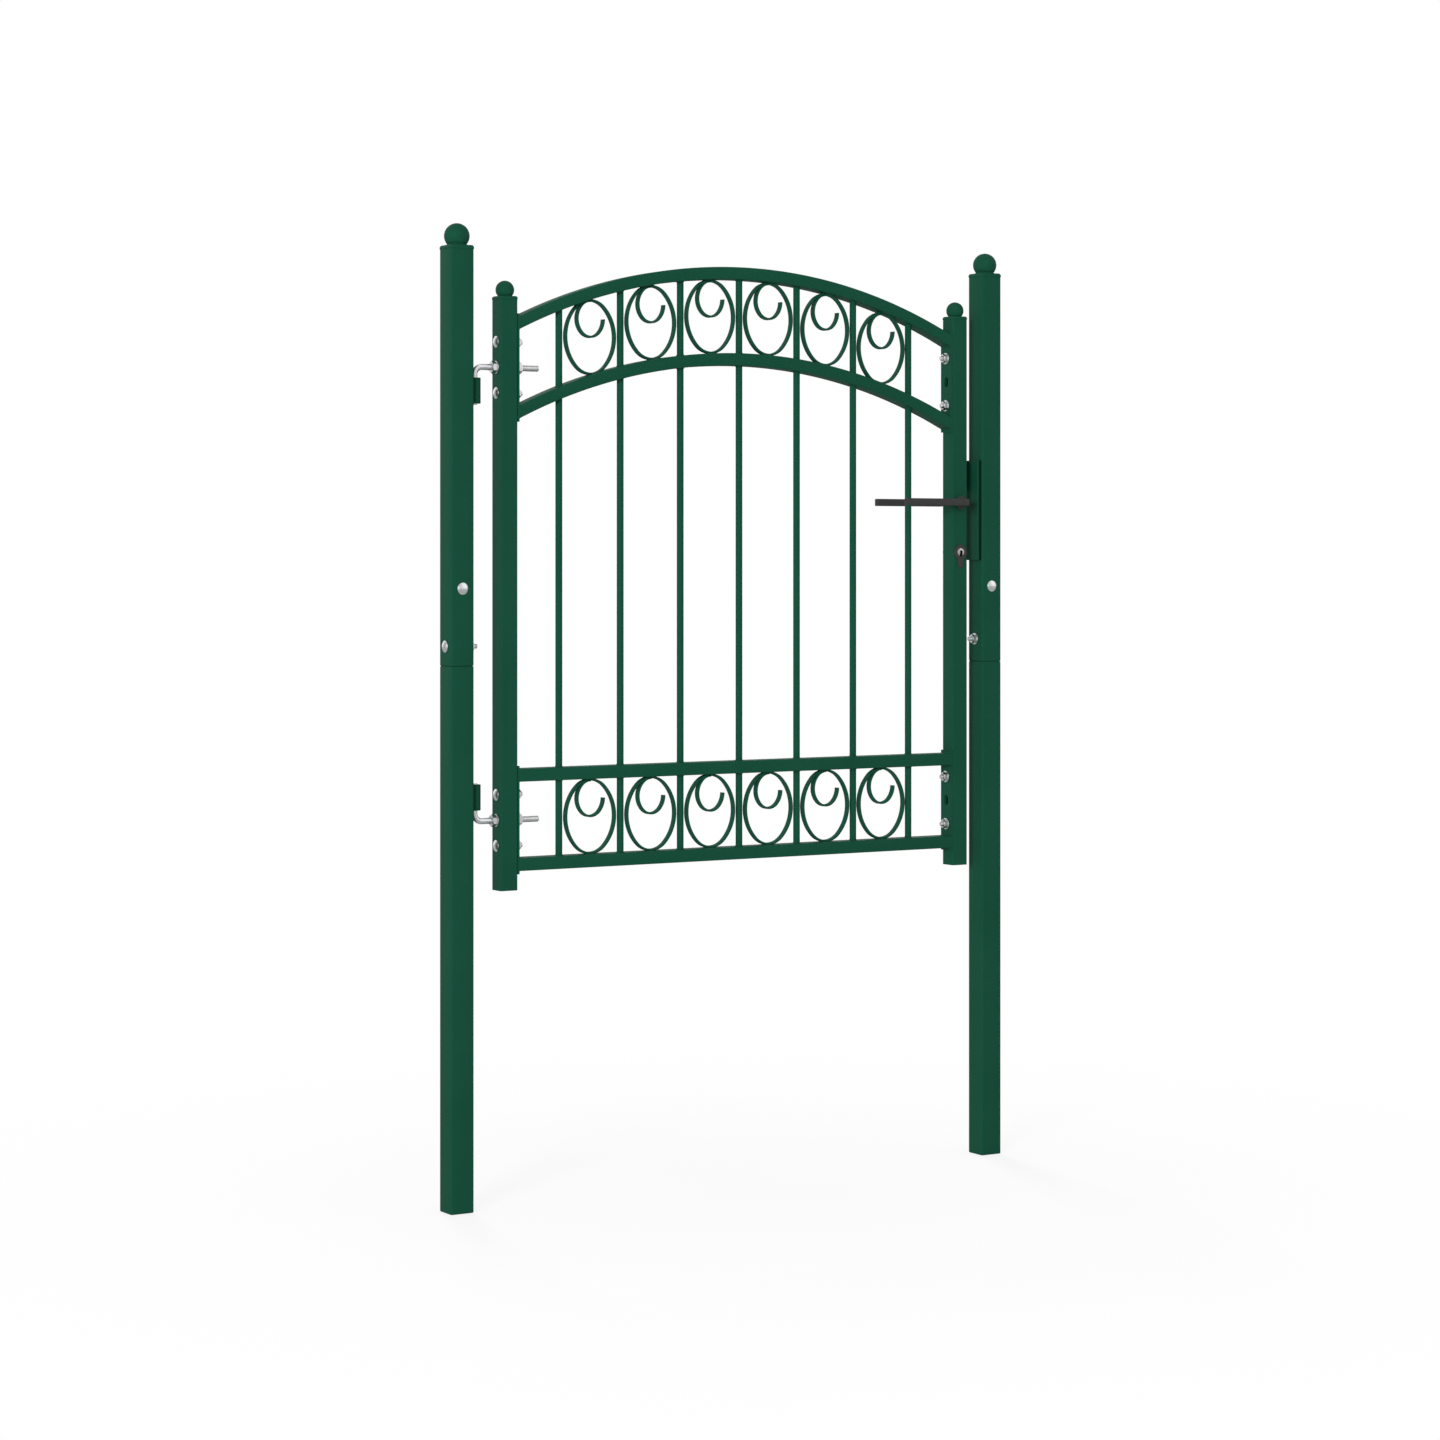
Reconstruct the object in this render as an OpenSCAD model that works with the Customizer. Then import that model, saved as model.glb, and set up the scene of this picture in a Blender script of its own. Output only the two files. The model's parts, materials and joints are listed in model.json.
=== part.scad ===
// Fence gate: a welded steel leaf with a double arch on top, hung between two
// square posts, with a lever handle and a key cylinder.
// Millimetres. The origin is the middle of the hinge post's foot: X runs across
// the gateway to the latch post, Y to the back, Z up.

/* [Posts] */
// Width of the square post tube
post_w = 40; // [30:1:60]
// Wall of the post tube
post_wall = 2; // [1.5:0.5:4]
// Outside corner radius of the post tube
post_corner = 3.5; // [2.5:0.5:5]
// Distance between the two post centres
post_pitch = 1000; // [850:10:1300]
// Height of the top of the post tubes
post_top = 1481; // [1450:1:1700]
// Height of the joint between the two sections of the hinge post
hinge_joint_z = 840; // [700:1:845]
// Height of the joint between the two sections of the latch post
latch_joint_z = 832; // [700:1:845]
// Smallest inside corner radius of any square tube
inside_corner = 0.5; // [0.2:0.1:0.5]
// Thickness of the plate that closes the foot of each post
foot_t = 3; // [2:0.5:6]

/* [Post joints] */
// Wall of the spigot inside each post joint
spigot_wall = 2; // [1.5:0.5:3]
// Gap between the spigot and the post tube, each side
spigot_clear = 0.3; // [0.2:0.1:1]
// Length of the spigot below the joint
spigot_below = 120; // [60:5:200]
// Length of the spigot above the upper bolt
spigot_end = 25; // [15:1:60]
// Height of the bolt that runs from front to back
front_bolt_z = 959; // [930:1:1000]
// Height of the bolt that runs from side to side
side_bolt_z = 870; // [860:1:910]
// Diameter of all the frame and post bolts
bolt_d = 8; // [6:1:10]
// Diameter of the domed bolt heads on the posts
post_head_d = 18.5; // [15:0.5:22]
// Height of the domed bolt heads
head_h = 4; // [3:0.5:6]
// How far a post bolt ends beyond the far face of the post
post_bolt_out = 14; // [12:1:20]
// Diameter of the washers under the post nuts
washer_d = 19; // [16:0.5:24]
// Thickness of the washers
washer_t = 1.6; // [1:0.1:3]
// Clearance of a bolt in its hole, on the radius
hole_clear = 0.25; // [0.2:0.05:0.6]
// Clearance of a nut round its thread, on the radius
thread_clear = 0.1; // [0.05:0.05:0.3]

/* [Caps] */
// How far a cap stands out past its tube, each side
cap_over = 0.8; // [0.4:0.1:2]
// Thickness of the cap's plate on a post
post_cap_h = 6; // [5:0.5:12]
// Thickness of the cap's plate on a leaf upright
upright_cap_h = 5; // [5:0.5:10]
// Radius of the rounded top edge of a cap
cap_edge = 4; // [1:0.25:4.5]
// Length of the plug that holds a cap in its tube
cap_plug = 14; // [8:1:30]
// Gap between a cap's plug and the tube, each side
plug_clear = 0.3; // [0.2:0.1:1]
// Width of the neck under a ball, as a share of the ball
ball_neck = 0.79; // [0.76:0.01:0.9]
// Diameter of the ball on a post
post_ball_d = 39.5; // [30:0.5:50]
// Height of the post ball's centre above its cap
post_ball_rise = 14.3; // [8:0.1:18]
// Diameter of the ball on a leaf upright
upright_ball_d = 29; // [20:0.5:36]
// Height of the upright ball's centre above its cap
upright_ball_rise = 9.6; // [5:0.1:13]

/* [Leaf frame] */
// Width of the square upright tube
upright_w = 30; // [25:1:40]
// Wall of the upright tube
upright_wall = 2; // [1.5:0.5:3]
// Outside corner radius of the upright tube
upright_corner = 2.5; // [2.25:0.25:4]
// Gap between the hinge post and the hinge upright
hinge_gap = 48.4; // [44:0.2:60]
// Gap between the latch upright and the latch post
latch_gap = 26.8; // [20:0.2:40]
// How far an upright reaches below its lower end plate
upright_below = 24.7; // [10:0.1:60]
// How far an upright's tube reaches above its upper end plate
upright_above = 21.8; // [10:0.1:60]

/* [Rails and arches] */
// Height of a rail
rail_h = 20; // [15:1:30]
// Wall of the rail tube
rail_wall = 1.5; // [1:0.25:3]
// Height of the underside of the bottom rail
bottom_rail_z = 520.5; // [510:0.5:540]
// Distance from a rail to its twin
rail_step = 138.5; // [120:0.5:150]
// Height of the crown of the top arch
arch_top = 1475; // [1465:1:1485]
// Radius of the arches
arch_r = 935; // [800:5:1400]

/* [End plates] */
// Thickness of the plates that join the rails to the uprights
plate_t = 3; // [2:0.5:6]
// How far a plate reaches past its pair of rails, each end
plate_margin = 4.75; // [3:0.25:10]
// Distance between the two bolts of an end plate
plate_bolt_pitch = 79.3; // [60:0.1:95]
// Diameter of the domed bolt heads on the uprights
plate_head_d = 18; // [15:0.5:22]
// How far a bolt ends beyond its end plate
plate_bolt_out = 11.5; // [9:0.5:14]

/* [Infill] */
// Diameter of the round bars
bar_d = 11; // [8:0.5:14]
// Distance from bar to bar, rounded to fill the leaf evenly
bar_spacing = 110; // [95:1:125]
// Distance from an upright to the middle of the nearest bar
end_bay = 80.5; // [60:0.5:100]
// Thickness of the scroll strip
scroll_t = 3.5; // [2.5:0.5:5]
// Depth of the scroll strip, front to back
scroll_depth = 9.5; // [4:0.5:12]
// Gap between a scroll and the bars beside it
scroll_gap = 4; // [0.5:0.5:8]
// How far a scroll is let into the weld at each rail
scroll_bite = 0.3; // [0.2:0.1:1]
// How much smaller a scroll's end radius is than its half width
scroll_flat = 9.5; // [6:0.5:14]
// Width of the inner curl
curl_w = 51; // [40:1:60]
// Height of the inner curl
curl_h = 60; // [45:1:80]
// How much smaller the curl's end radius is than its half width
curl_flat = 3; // [2:0.5:6]
// Drop of the curl's top inside the scroll's strip
curl_drop = 1; // [0.5:0.1:2]
// How much thinner the strip is on its flatter sides, each face
strip_step = 0.06; // [0.04:0.01:0.2]
// Angle by which the strip's arcs lap over each other
strip_lap = 2; // [1:0.5:3]

/* [Hinges] */
// Outside diameter of a hinge bush
bush_d = 20; // [18:0.5:28]
// Length of a hinge bush
bush_l = 40; // [25:1:60]
// Diameter of the hinge pins
pin_d = 10; // [8:0.5:12]
// Running clearance of a pin in its bush, on the radius
pin_clear = 0.05; // [0.02:0.01:0.1]
// Bend radius of a pin's centre line
pin_bend = 12; // [11:0.5:16]
// Bare length of the pin between its bend and its bush
pin_neck = 5; // [5:0.5:12]
// How far a pin's leg ends past its bush
pin_past = 2; // [0:0.5:10]
// How far a pin ends beyond the end plate
pin_out = 40; // [15:1:60]
// Height of the slots that a pin can be set up or down in
pin_slot_h = 17; // [12:0.5:18]
// Depth of the weld between a bush and the post
weld_t = 3.5; // [2:0.5:6]
// Width of the weld between a bush and the post
weld_w = 10; // [6:1:16]

/* [Nuts] */
// Width of a bolt's nut across its flats
nut_af = 13; // [10:0.5:17]
// Height of a bolt's nut
nut_h = 6.5; // [5:0.5:8]
// Width of a pin's nut across its flats
pin_nut_af = 17; // [14:0.5:19]
// Height of a pin's nut
pin_nut_h = 8; // [6:0.5:10]
// Diameter of a pin's washer
pin_washer_d = 20; // [18:0.5:24]

/* [Lever handle] */
// Height of the lever handle's spindle
lever_z = 1099.2; // [1050:0.2:1150]
// Length of a lever from its spindle
lever_l = 130; // [90:1:150]
// Height of a lever's grip
lever_h = 12; // [10:0.5:16]
// Thickness of a lever's grip
lever_t = 10; // [8:0.5:14]
// Distance from the upright to the middle of the grip
lever_out = 28.5; // [24:0.5:45]
// Radius of the lever's bend, at its centre line
lever_bend = 15; // [10:0.5:18]
// Corner radius of the grip
lever_round = 2; // [1:0.25:4]
// Diameter of the rose round a lever's neck
rose_d = 22; // [18:0.5:30]
// Thickness of a rose
rose_t = 3; // [2:0.5:6]
// Running clearance of the neck in its rose, on the radius
neck_clear = 0.08; // [0.02:0.01:0.1]
// Gap between a neck's end and the upright
neck_gap = 0.5; // [0.3:0.1:2]
// Width of the square spindle
spindle_w = 7; // [6:0.5:8]
// Depth of the spindle in each lever's neck
spindle_in = 9; // [6:0.5:10]
// Gap between the spindle and its socket, each side
spindle_clear = 0.05; // [0.02:0.01:0.2]
// Clearance of the spindle's corners in the upright
spindle_room = 0.5; // [0.3:0.1:1]

/* [Key cylinder] */
// Distance from the spindle down to the key cylinder
cylinder_drop = 83.3; // [60:0.1:95]
// Diameter of the round part of the cylinder's body
cylinder_d = 17; // [15:0.5:20]
// Width of the cylinder's web
cylinder_web = 10; // [8:0.5:12]
// Distance from the cylinder's middle to the foot of its web
cylinder_foot = 24.5; // [20:0.5:26]
// Clearance of the cylinder in the upright
cylinder_clear = 0.3; // [0.2:0.1:1]
// Diameter of the plug that takes the key
plug_d = 14; // [12:0.5:15]
// How far the plug stands out past its cover
plug_out = 1; // [0.5:0.1:3]
// Width of the keyway
keyway_w = 2.6; // [1.5:0.1:4]
// Height of the keyway
keyway_h = 9.5; // [7:0.5:11]
// Depth of the keyway
keyway_depth = 3; // [2:0.5:6]
// Diameter of the round part of the cylinder's cover
cover_d = 25.5; // [22:0.5:28]
// Width of the tail of the cover
cover_tail = 11.5; // [11:0.5:16]
// Distance from the cylinder's middle to the foot of the cover
cover_foot = 26.2; // [25.5:0.1:32]
// Thickness of the cover
cover_t = 2.5; // [2:0.5:5]
// Gap between the plug and the cover
cover_clear = 0.2; // [0.1:0.05:0.5]

/* [Strike plate] */
// Thickness of the strike plate on the latch post
strike_t = 2.5; // [2:0.5:5]
// Thickness of the packing between the strike plate and the post
strike_pack = 5.5; // [3:0.5:8]
// Height of the strike plate
strike_h = 168; // [120:1:220]
// Distance from the spindle down to the middle of the strike plate
strike_drop = 12.5; // [-30:0.5:60]
// Distance from the post's front face back to the plate's front edge
strike_inset = 1.8; // [0:0.1:6]
// Gap between the stop tab and the back of the closed leaf
stop_gap = 5; // [5:0.5:8]
// How far the stop tab overlaps the back of the leaf
stop_lap = 6; // [4:0.5:12]
// Height of the stop tab, at the top of the strike plate
stop_h = 50; // [20:1:54]

/* [Hidden] */
$fn = 96;
eps = 1;
all_but_sharp = 0.01;
post_in = post_w / 2 - post_wall;
spigot_w = 2 * (post_in - spigot_clear);
spigot_corner = inside(post_corner, post_wall);
spigot_top = front_bolt_z + spigot_end;
latch_x = post_pitch;
face_in = post_w / 2;
latch_face = latch_x - post_w / 2;
upright_in = upright_w / 2 - upright_wall;
hinge_up_x = face_in + hinge_gap + upright_w / 2;
latch_up_x = latch_face - latch_gap - upright_w / 2;
leaf_mid = (hinge_up_x + latch_up_x) / 2;
plate_l_x = hinge_up_x + upright_w / 2;
plate_r_x = latch_up_x - upright_w / 2;
rail_l_x = plate_l_x + plate_t;
rail_r_x = plate_r_x - plate_t;
rail_len = rail_r_x - rail_l_x;
rail_d = upright_w;
pair_h = rail_step + rail_h;
plate_h = pair_h + 2 * plate_margin;
middle_rail_z = bottom_rail_z + rail_step;
lower_mid_z = bottom_rail_z + pair_h / 2;
leaf_bottom = lower_mid_z - plate_h / 2 - upright_below;
arch_low = arch_top - rail_step;
arch_drop = arch_r - sqrt(arch_r * arch_r - rail_len * rail_len / 4);
upper_mid_z = arch_top - arch_drop - pair_h / 2;
upright_top = upper_mid_z + plate_h / 2 + upright_above;
bar_first = plate_l_x + end_bay;
bar_row = plate_r_x - plate_l_x - 2 * end_bay;
bar_count = round(bar_row / bar_spacing) + 1;
bar_pitch = bar_row / (bar_count - 1);
scroll_hw = (bar_pitch - bar_d) / 2 - scroll_gap;
scroll_hh = (rail_step - rail_h) / 2 + scroll_bite;
hinge_x = face_in + bush_d / 2;
bore_r = pin_d / 2 + pin_clear;
bolt_hole_r = bolt_d / 2 + hole_clear;
pin_slot_r = pin_d / 2 + hole_clear;
plate_face_x = upright_w + plate_t;
pack_x = latch_face - strike_pack;
top_bush_z = upper_mid_z - pin_bend - pin_neck - bush_l;
low_bush_z = lower_mid_z + pin_bend + pin_neck;
cylinder_z = lever_z - cylinder_drop;
strike_z = lever_z - strike_drop;
spindle_hole_r = spindle_w * sqrt(2) / 2 + spindle_room;
green = [0.10, 0.30, 0.22];
zinc = [0.75, 0.76, 0.78];
black = [0.12, 0.12, 0.13];

// Inside corner radius of a square tube.
function inside(corner, wall) = max(corner - wall, inside_corner);

// Outline of a square tube with rounded corners.
module round_square(w, r) {
    square([w - 2 * r, w], center = true);
    square([w, w - 2 * r], center = true);
    for (sx = [-1, 1])
        for (sy = [-1, 1])
            translate([sx * (w / 2 - r), sy * (w / 2 - r)])
                circle(r = r);
}

// Square tube standing on z, from z0 to z1.
module tube(x, z0, z1, w, wall, corner) {
    translate([x, 0, z0])
        linear_extrude(z1 - z0)
            difference() {
                round_square(w, corner);
                round_square(w - 2 * wall, inside(corner, wall));
            }
}

// Bore along X through a tube or plate that stands at x.
module bore_x(x, z, r, reach) {
    translate([x - reach, 0, z])
        rotate([0, 90, 0])
            cylinder(r = r, h = 2 * reach);
}

// Bore along Y through a tube that stands at x.
module bore_y(x, z, r, reach) {
    translate([x, -reach, z])
        rotate([-90, 0, 0])
            cylinder(r = r, h = 2 * reach);
}

// Both joint bolt holes of a post.
module post_bores(x) {
    bore_y(x, front_bolt_z, bolt_hole_r, post_w);
    bore_x(x, side_bolt_z, bolt_hole_r, post_w);
}

// Lower section of a post with its closed foot.
module post_lower(x, joint_z) {
    color(green)
        union() {
            tube(x, 0, joint_z, post_w, post_wall, post_corner);
            translate([x, 0, 0])
                linear_extrude(foot_t)
                    round_square(post_w, post_corner);
        }
}

// Upper section of a post, bored for its joint bolts.
module post_upper(x, joint_z) {
    color(green)
        difference() {
            tube(x, joint_z, post_top, post_w, post_wall, post_corner);
            post_bores(x);
        }
}

// Spigot that joins the two sections of a post from inside.
module post_spigot(x, joint_z) {
    color(zinc)
        difference() {
            tube(x, joint_z - spigot_below, spigot_top, spigot_w, spigot_wall, spigot_corner);
            post_bores(x);
        }
}

// Cap plate with a rounded top edge, standing on z = 0.
module cap_plate(w, corner, h) {
    e = cap_edge;
    c = max(corner, e);
    flat = w / 2 - c;
    linear_extrude(h - e)
        round_square(w, c);
    linear_extrude(h)
        round_square(w - 2 * e, c - e + all_but_sharp);
    for (a = [0:90:270])
        rotate([0, 0, a]) {
            translate([-flat, w / 2 - e, h - e])
                rotate([0, 90, 0])
                    intersection() {
                        cylinder(r = e, h = 2 * flat);
                        translate([-e, -e, 0])
                            cube([h, 2 * e, 2 * flat]);
                    }
            translate([flat, flat, h - e])
                rotate_extrude(angle = 90)
                    intersection() {
                        translate([c - e, 0])
                            circle(r = e);
                        translate([0, e - h])
                            square([c, h]);
                    }
        }
}

// Cap with its ball finial, the neck under it and the plug that holds the cap.
module cap(x, z, tube_w, wall, corner, h, ball_d, rise) {
    inner = tube_w - 2 * wall - 2 * plug_clear;
    color(green)
        translate([x, 0, z])
            union() {
                cap_plate(tube_w + 2 * cap_over, corner + cap_over, h);
                translate([0, 0, h + rise])
                    sphere(d = ball_d);
                cylinder(d = ball_neck * ball_d, h = h + rise);
                translate([-inner / 2, -inner / 2, -cap_plug])
                    cube([inner, inner, cap_plug + h / 2]);
            }
}

// Domed bolt along +X with its head against x = 0 and its end at x = length.
module dome_bolt(head_d, length) {
    dome_r = (head_d * head_d / 4 + head_h * head_h) / (2 * head_h);
    union() {
        intersection() {
            translate([dome_r - head_h, 0, 0])
                sphere(r = dome_r);
            translate([-head_h - eps, 0, 0])
                rotate([0, 90, 0])
                    cylinder(d = head_d, h = head_h + eps);
        }
        rotate([0, 90, 0])
            cylinder(d = bolt_d, h = length);
    }
}

// Hexagon nut along +X, standing on x = 0.
module nut(af, h, thread_d) {
    rotate([0, 90, 0])
        difference() {
            cylinder(d = af / cos(30), h = h, $fn = 6);
            translate([0, 0, -eps])
                cylinder(r = thread_d / 2 + thread_clear, h = h + 2 * eps);
        }
}

// Round washer along +X, standing on x = 0.
module washer(d, t, thread_d) {
    rotate([0, 90, 0])
        difference() {
            cylinder(d = d, h = t);
            translate([0, 0, -eps])
                cylinder(r = thread_d / 2 + thread_clear, h = t + 2 * eps);
        }
}

// Places its children at both bolts of a post, pointing along each bolt.
// The side bolt of the latch post points the other way.
module at_post_bolts(x, side) {
    translate([x, 0, front_bolt_z])
        rotate([0, 0, 90])
            translate([-post_w / 2, 0, 0])
                children();
    translate([x, 0, side_bolt_z])
        rotate([0, 0, side])
            translate([-post_w / 2, 0, 0])
                children();
}

// Places its children at the eight end plate bolts, on the outer face of the
// uprights and pointing into the leaf.
module at_plate_bolts() {
    for (mid_z = [lower_mid_z, upper_mid_z])
        for (s = [-1, 1]) {
            translate([plate_l_x - upright_w, 0, mid_z + s * plate_bolt_pitch / 2])
                children();
            translate([plate_r_x + upright_w, 0, mid_z + s * plate_bolt_pitch / 2])
                rotate([0, 0, 180])
                    children();
        }
}

// Upright slot along X through a tube or plate that stands at x.
module slot_x(x, z, r, h, reach) {
    half = h / 2 - r;
    for (s = [-1, 1])
        bore_x(x, z + s * half, r, reach);
    translate([x - reach, -r, z - half])
        cube([2 * reach, 2 * r, 2 * half]);
}

// Two bolt holes and a hinge pin's slot in an upright or its end plates.
module plate_bores(x, mid_z) {
    slot_x(x, mid_z, pin_slot_r, pin_slot_h, upright_w);
    for (s = [-1, 1])
        bore_x(x, mid_z + s * plate_bolt_pitch / 2, bolt_hole_r, upright_w);
}

// Arched band with its crown at the given height.
module arch_band(crown, h, depth) {
    rotate([90, 0, 0])
        linear_extrude(depth, center = true)
            arch_outline(crown, h);
}

// Arched tube with its crown at the given height.
module arch(crown) {
    color(green)
        difference() {
            arch_band(crown, rail_h, rail_d);
            arch_band(crown - rail_wall, rail_h - 2 * rail_wall, rail_d - 2 * rail_wall);
        }
}

// Straight rail tube with its underside at the given height.
module rail(z) {
    color(green)
        difference() {
            translate([rail_l_x, -rail_d / 2, z])
                cube([rail_len, rail_d, rail_h]);
            translate([rail_l_x - eps, -rail_d / 2 + rail_wall, z + rail_wall])
                cube([rail_len + 2 * eps, rail_d - 2 * rail_wall, rail_h - 2 * rail_wall]);
        }
}

// Pair of end plates at the given height.
module end_plates(mid_z) {
    color(green)
        for (x = [plate_l_x, plate_r_x - plate_t])
            difference() {
                translate([x, -rail_d / 2, mid_z - plate_h / 2])
                    cube([plate_t, rail_d, plate_h]);
                plate_bores(x, mid_z);
            }
}

// Row of round bars from z0 to z1.
module bars(z0, z1) {
    for (i = [0:bar_count - 1])
        translate([bar_first + i * bar_pitch, 0, z0])
            cylinder(d = bar_d, h = z1 - z0);
}

// Outline of a part of a ring of strip, thinner by step on each side.
module strip_arc(cx, cy, r, from, to, step) {
    far = 2 * r;
    mid = (from + to) / 2;
    translate([cx, cy])
        intersection() {
            difference() {
                circle(r = r - step);
                circle(r = r - scroll_t + step);
            }
            polygon([
                [0, 0],
                [far * cos(from), far * sin(from)],
                [far * cos(mid), far * sin(mid)],
                [far * cos(to), far * sin(to)]
            ]);
        }
}

// Oval of strip made of four arcs, a wide and b high to its outer face at the
// half. k is how much its end radius is smaller than a. An open oval leaves
// out its upper right quarter. The side arcs end inside the end arcs.
module strip_oval(a, b, k, open) {
    r1 = a - k;
    r2 = b + (b - a) * (b - a) / (2 * k);
    turn = atan2(b - r1, r2 - a);
    side = turn + strip_lap;
    strip_arc(a - r2, 0, r2, -side, open ? 0 : side, strip_step);
    strip_arc(0, b - r1, r1, open ? 90 : turn, 180 - turn, 0);
    strip_arc(r2 - a, 0, r2, 180 - side, 180 + side, strip_step);
    strip_arc(0, r1 - b, r1, 180 + turn, 360 - turn, 0);
}

// Outline of one scroll: an oval with a curl that hangs from its top.
module scroll() {
    strip_oval(scroll_hw, scroll_hh, scroll_flat, false);
    translate([0, scroll_hh - curl_drop - curl_h / 2])
        strip_oval(curl_w / 2, curl_h / 2, curl_flat, true);
}

// Outline of an arched band with its crown at the given height.
module arch_outline(crown, h) {
    difference() {
        intersection() {
            translate([leaf_mid, crown - arch_r])
                circle(r = arch_r);
            translate([rail_l_x, crown - arch_r])
                square([rail_len, arch_r + eps]);
        }
        translate([leaf_mid, crown - h - arch_r])
            circle(r = arch_r);
    }
}

// The space from an arch's underside up to its crown and beyond.
module above_arch(crown) {
    arch_band(crown + arch_drop, arch_drop + rail_h, 2 * rail_d);
}

// Height of an arch below its crown at x.
function sag(x) = arch_r - sqrt(arch_r * arch_r - (x - leaf_mid) * (x - leaf_mid));

// L-shaped hinge pin. The rod lies along X and the leg points down for way = -1
// and up for way = 1.
module hinge_pin(z, way) {
    translate([hinge_x, 0, z])
        union() {
            translate([pin_bend, 0, 0])
                rotate([0, 90, 0])
                    cylinder(d = pin_d, h = rail_l_x + pin_out - hinge_x - pin_bend);
            translate([pin_bend, 0, way * pin_bend])
                rotate([90, 0, 0])
                    rotate([0, 0, way < 0 ? 90 : 180])
                        rotate_extrude(angle = 90)
                            translate([pin_bend, 0])
                                circle(d = pin_d);
            translate([0, 0, way < 0 ? -pin_bend - pin_neck - bush_l - pin_past : pin_bend])
                cylinder(d = pin_d, h = pin_neck + bush_l + pin_past);
        }
}

// Rounded rectangle, the section of a lever.
module lever_section() {
    w = lever_t;
    h = lever_h;
    r = lever_round;
    square([w - 2 * r, h], center = true);
    square([w, h - 2 * r], center = true);
    for (sx = [-1, 1])
        for (sy = [-1, 1])
            translate([sx * (w / 2 - r), sy * (h / 2 - r)])
                circle(r = r);
}

// Lever in front of the upright, with its spindle axis along Y through 0.
module lever() {
    neck_y = upright_w / 2 + lever_out - lever_bend;
    color(black)
        difference() {
            union() {
                translate([0, -neck_y, 0])
                    rotate([-90, 0, 0])
                        cylinder(d = lever_h, h = neck_y - upright_w / 2 - neck_gap);
                translate([-lever_bend, -neck_y, 0])
                    rotate([0, 0, -90])
                        rotate_extrude(angle = 90)
                            translate([lever_bend, 0])
                                lever_section();
                translate([-lever_bend, -upright_w / 2 - lever_out, 0])
                    rotate([0, -90, 0])
                        linear_extrude(lever_l - lever_bend)
                            rotate([0, 0, 90])
                                lever_section();
            }
            socket = spindle_w + 2 * spindle_clear;
            translate([-socket / 2, -upright_w / 2 - neck_gap - spindle_in, -socket / 2])
                cube([socket, spindle_in + eps, socket]);
        }
}

// Outline of the key cylinder's body, grown by g.
module cylinder_outline(g) {
    web = cylinder_web + 2 * g;
    circle(d = cylinder_d + 2 * g);
    translate([-web / 2, -cylinder_foot - g + web / 2])
        square([web, cylinder_foot + g - web / 2]);
    translate([0, -cylinder_foot - g + web / 2])
        circle(d = web);
}

// Extrudes an outline of the X-Z plane along Y, between y0 and y1.
module along_y(y0, y1) {
    translate([latch_up_x, y1, cylinder_z])
        rotate([90, 0, 0])
            linear_extrude(y1 - y0)
                children();
}

module hinge_post_lower() {
    post_lower(0, hinge_joint_z);
}

module hinge_post_upper() {
    post_upper(0, hinge_joint_z);
}

module hinge_post_spigot() {
    post_spigot(0, hinge_joint_z);
}

module hinge_post_cap() {
    cap(0, post_top, post_w, post_wall, post_corner, post_cap_h, post_ball_d, post_ball_rise);
}

module latch_post_lower() {
    post_lower(latch_x, latch_joint_z);
}

module latch_post_upper() {
    post_upper(latch_x, latch_joint_z);
}

module latch_post_spigot() {
    post_spigot(latch_x, latch_joint_z);
}

module latch_post_cap() {
    cap(latch_x, post_top, post_w, post_wall, post_corner, post_cap_h, post_ball_d,
        post_ball_rise);
}

module post_bolts() {
    color(zinc) {
        at_post_bolts(0, 0)
            dome_bolt(post_head_d, post_w + post_bolt_out);
        at_post_bolts(latch_x, 180)
            dome_bolt(post_head_d, post_w + post_bolt_out);
    }
}

module post_washers() {
    color(zinc) {
        at_post_bolts(0, 0)
            translate([post_w, 0, 0])
                washer(washer_d, washer_t, bolt_d);
        at_post_bolts(latch_x, 180)
            translate([post_w, 0, 0])
                washer(washer_d, washer_t, bolt_d);
    }
}

module post_nuts() {
    color(zinc) {
        at_post_bolts(0, 0)
            translate([post_w + washer_t, 0, 0])
                nut(nut_af, nut_h, bolt_d);
        at_post_bolts(latch_x, 180)
            translate([post_w + washer_t, 0, 0])
                nut(nut_af, nut_h, bolt_d);
    }
}

module hinge_bushes() {
    color(green)
        for (z = [low_bush_z, top_bush_z])
            difference() {
                union() {
                    translate([hinge_x, 0, z])
                        cylinder(d = bush_d, h = bush_l);
                    translate([face_in, -weld_w / 2, z])
                        cube([weld_t, weld_w, bush_l]);
                }
                translate([hinge_x, 0, z - eps])
                    cylinder(r = bore_r, h = bush_l + 2 * eps);
            }
}

module strike_plate() {
    edge_y = strike_inset - post_w / 2;
    tab_y = upright_w / 2 + stop_gap;
    tab_x = latch_up_x + upright_w / 2 - stop_lap;
    color(green)
        union() {
            translate([pack_x - strike_t, edge_y, strike_z - strike_h / 2])
                cube([strike_t, tab_y + strike_t - edge_y, strike_h]);
            translate([tab_x, tab_y, strike_z + strike_h / 2 - stop_h])
                cube([pack_x - tab_x, strike_t, stop_h]);
        }
}

module strike_packing() {
    edge_y = strike_inset - post_w / 2;
    color(black)
        translate([pack_x, edge_y, strike_z - strike_h / 2])
            cube([strike_pack, -2 * edge_y, strike_h]);
}

module hinge_upright() {
    color(green)
        difference() {
            tube(hinge_up_x, leaf_bottom, upright_top, upright_w, upright_wall, upright_corner);
            plate_bores(hinge_up_x, lower_mid_z);
            plate_bores(hinge_up_x, upper_mid_z);
        }
}

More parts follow.
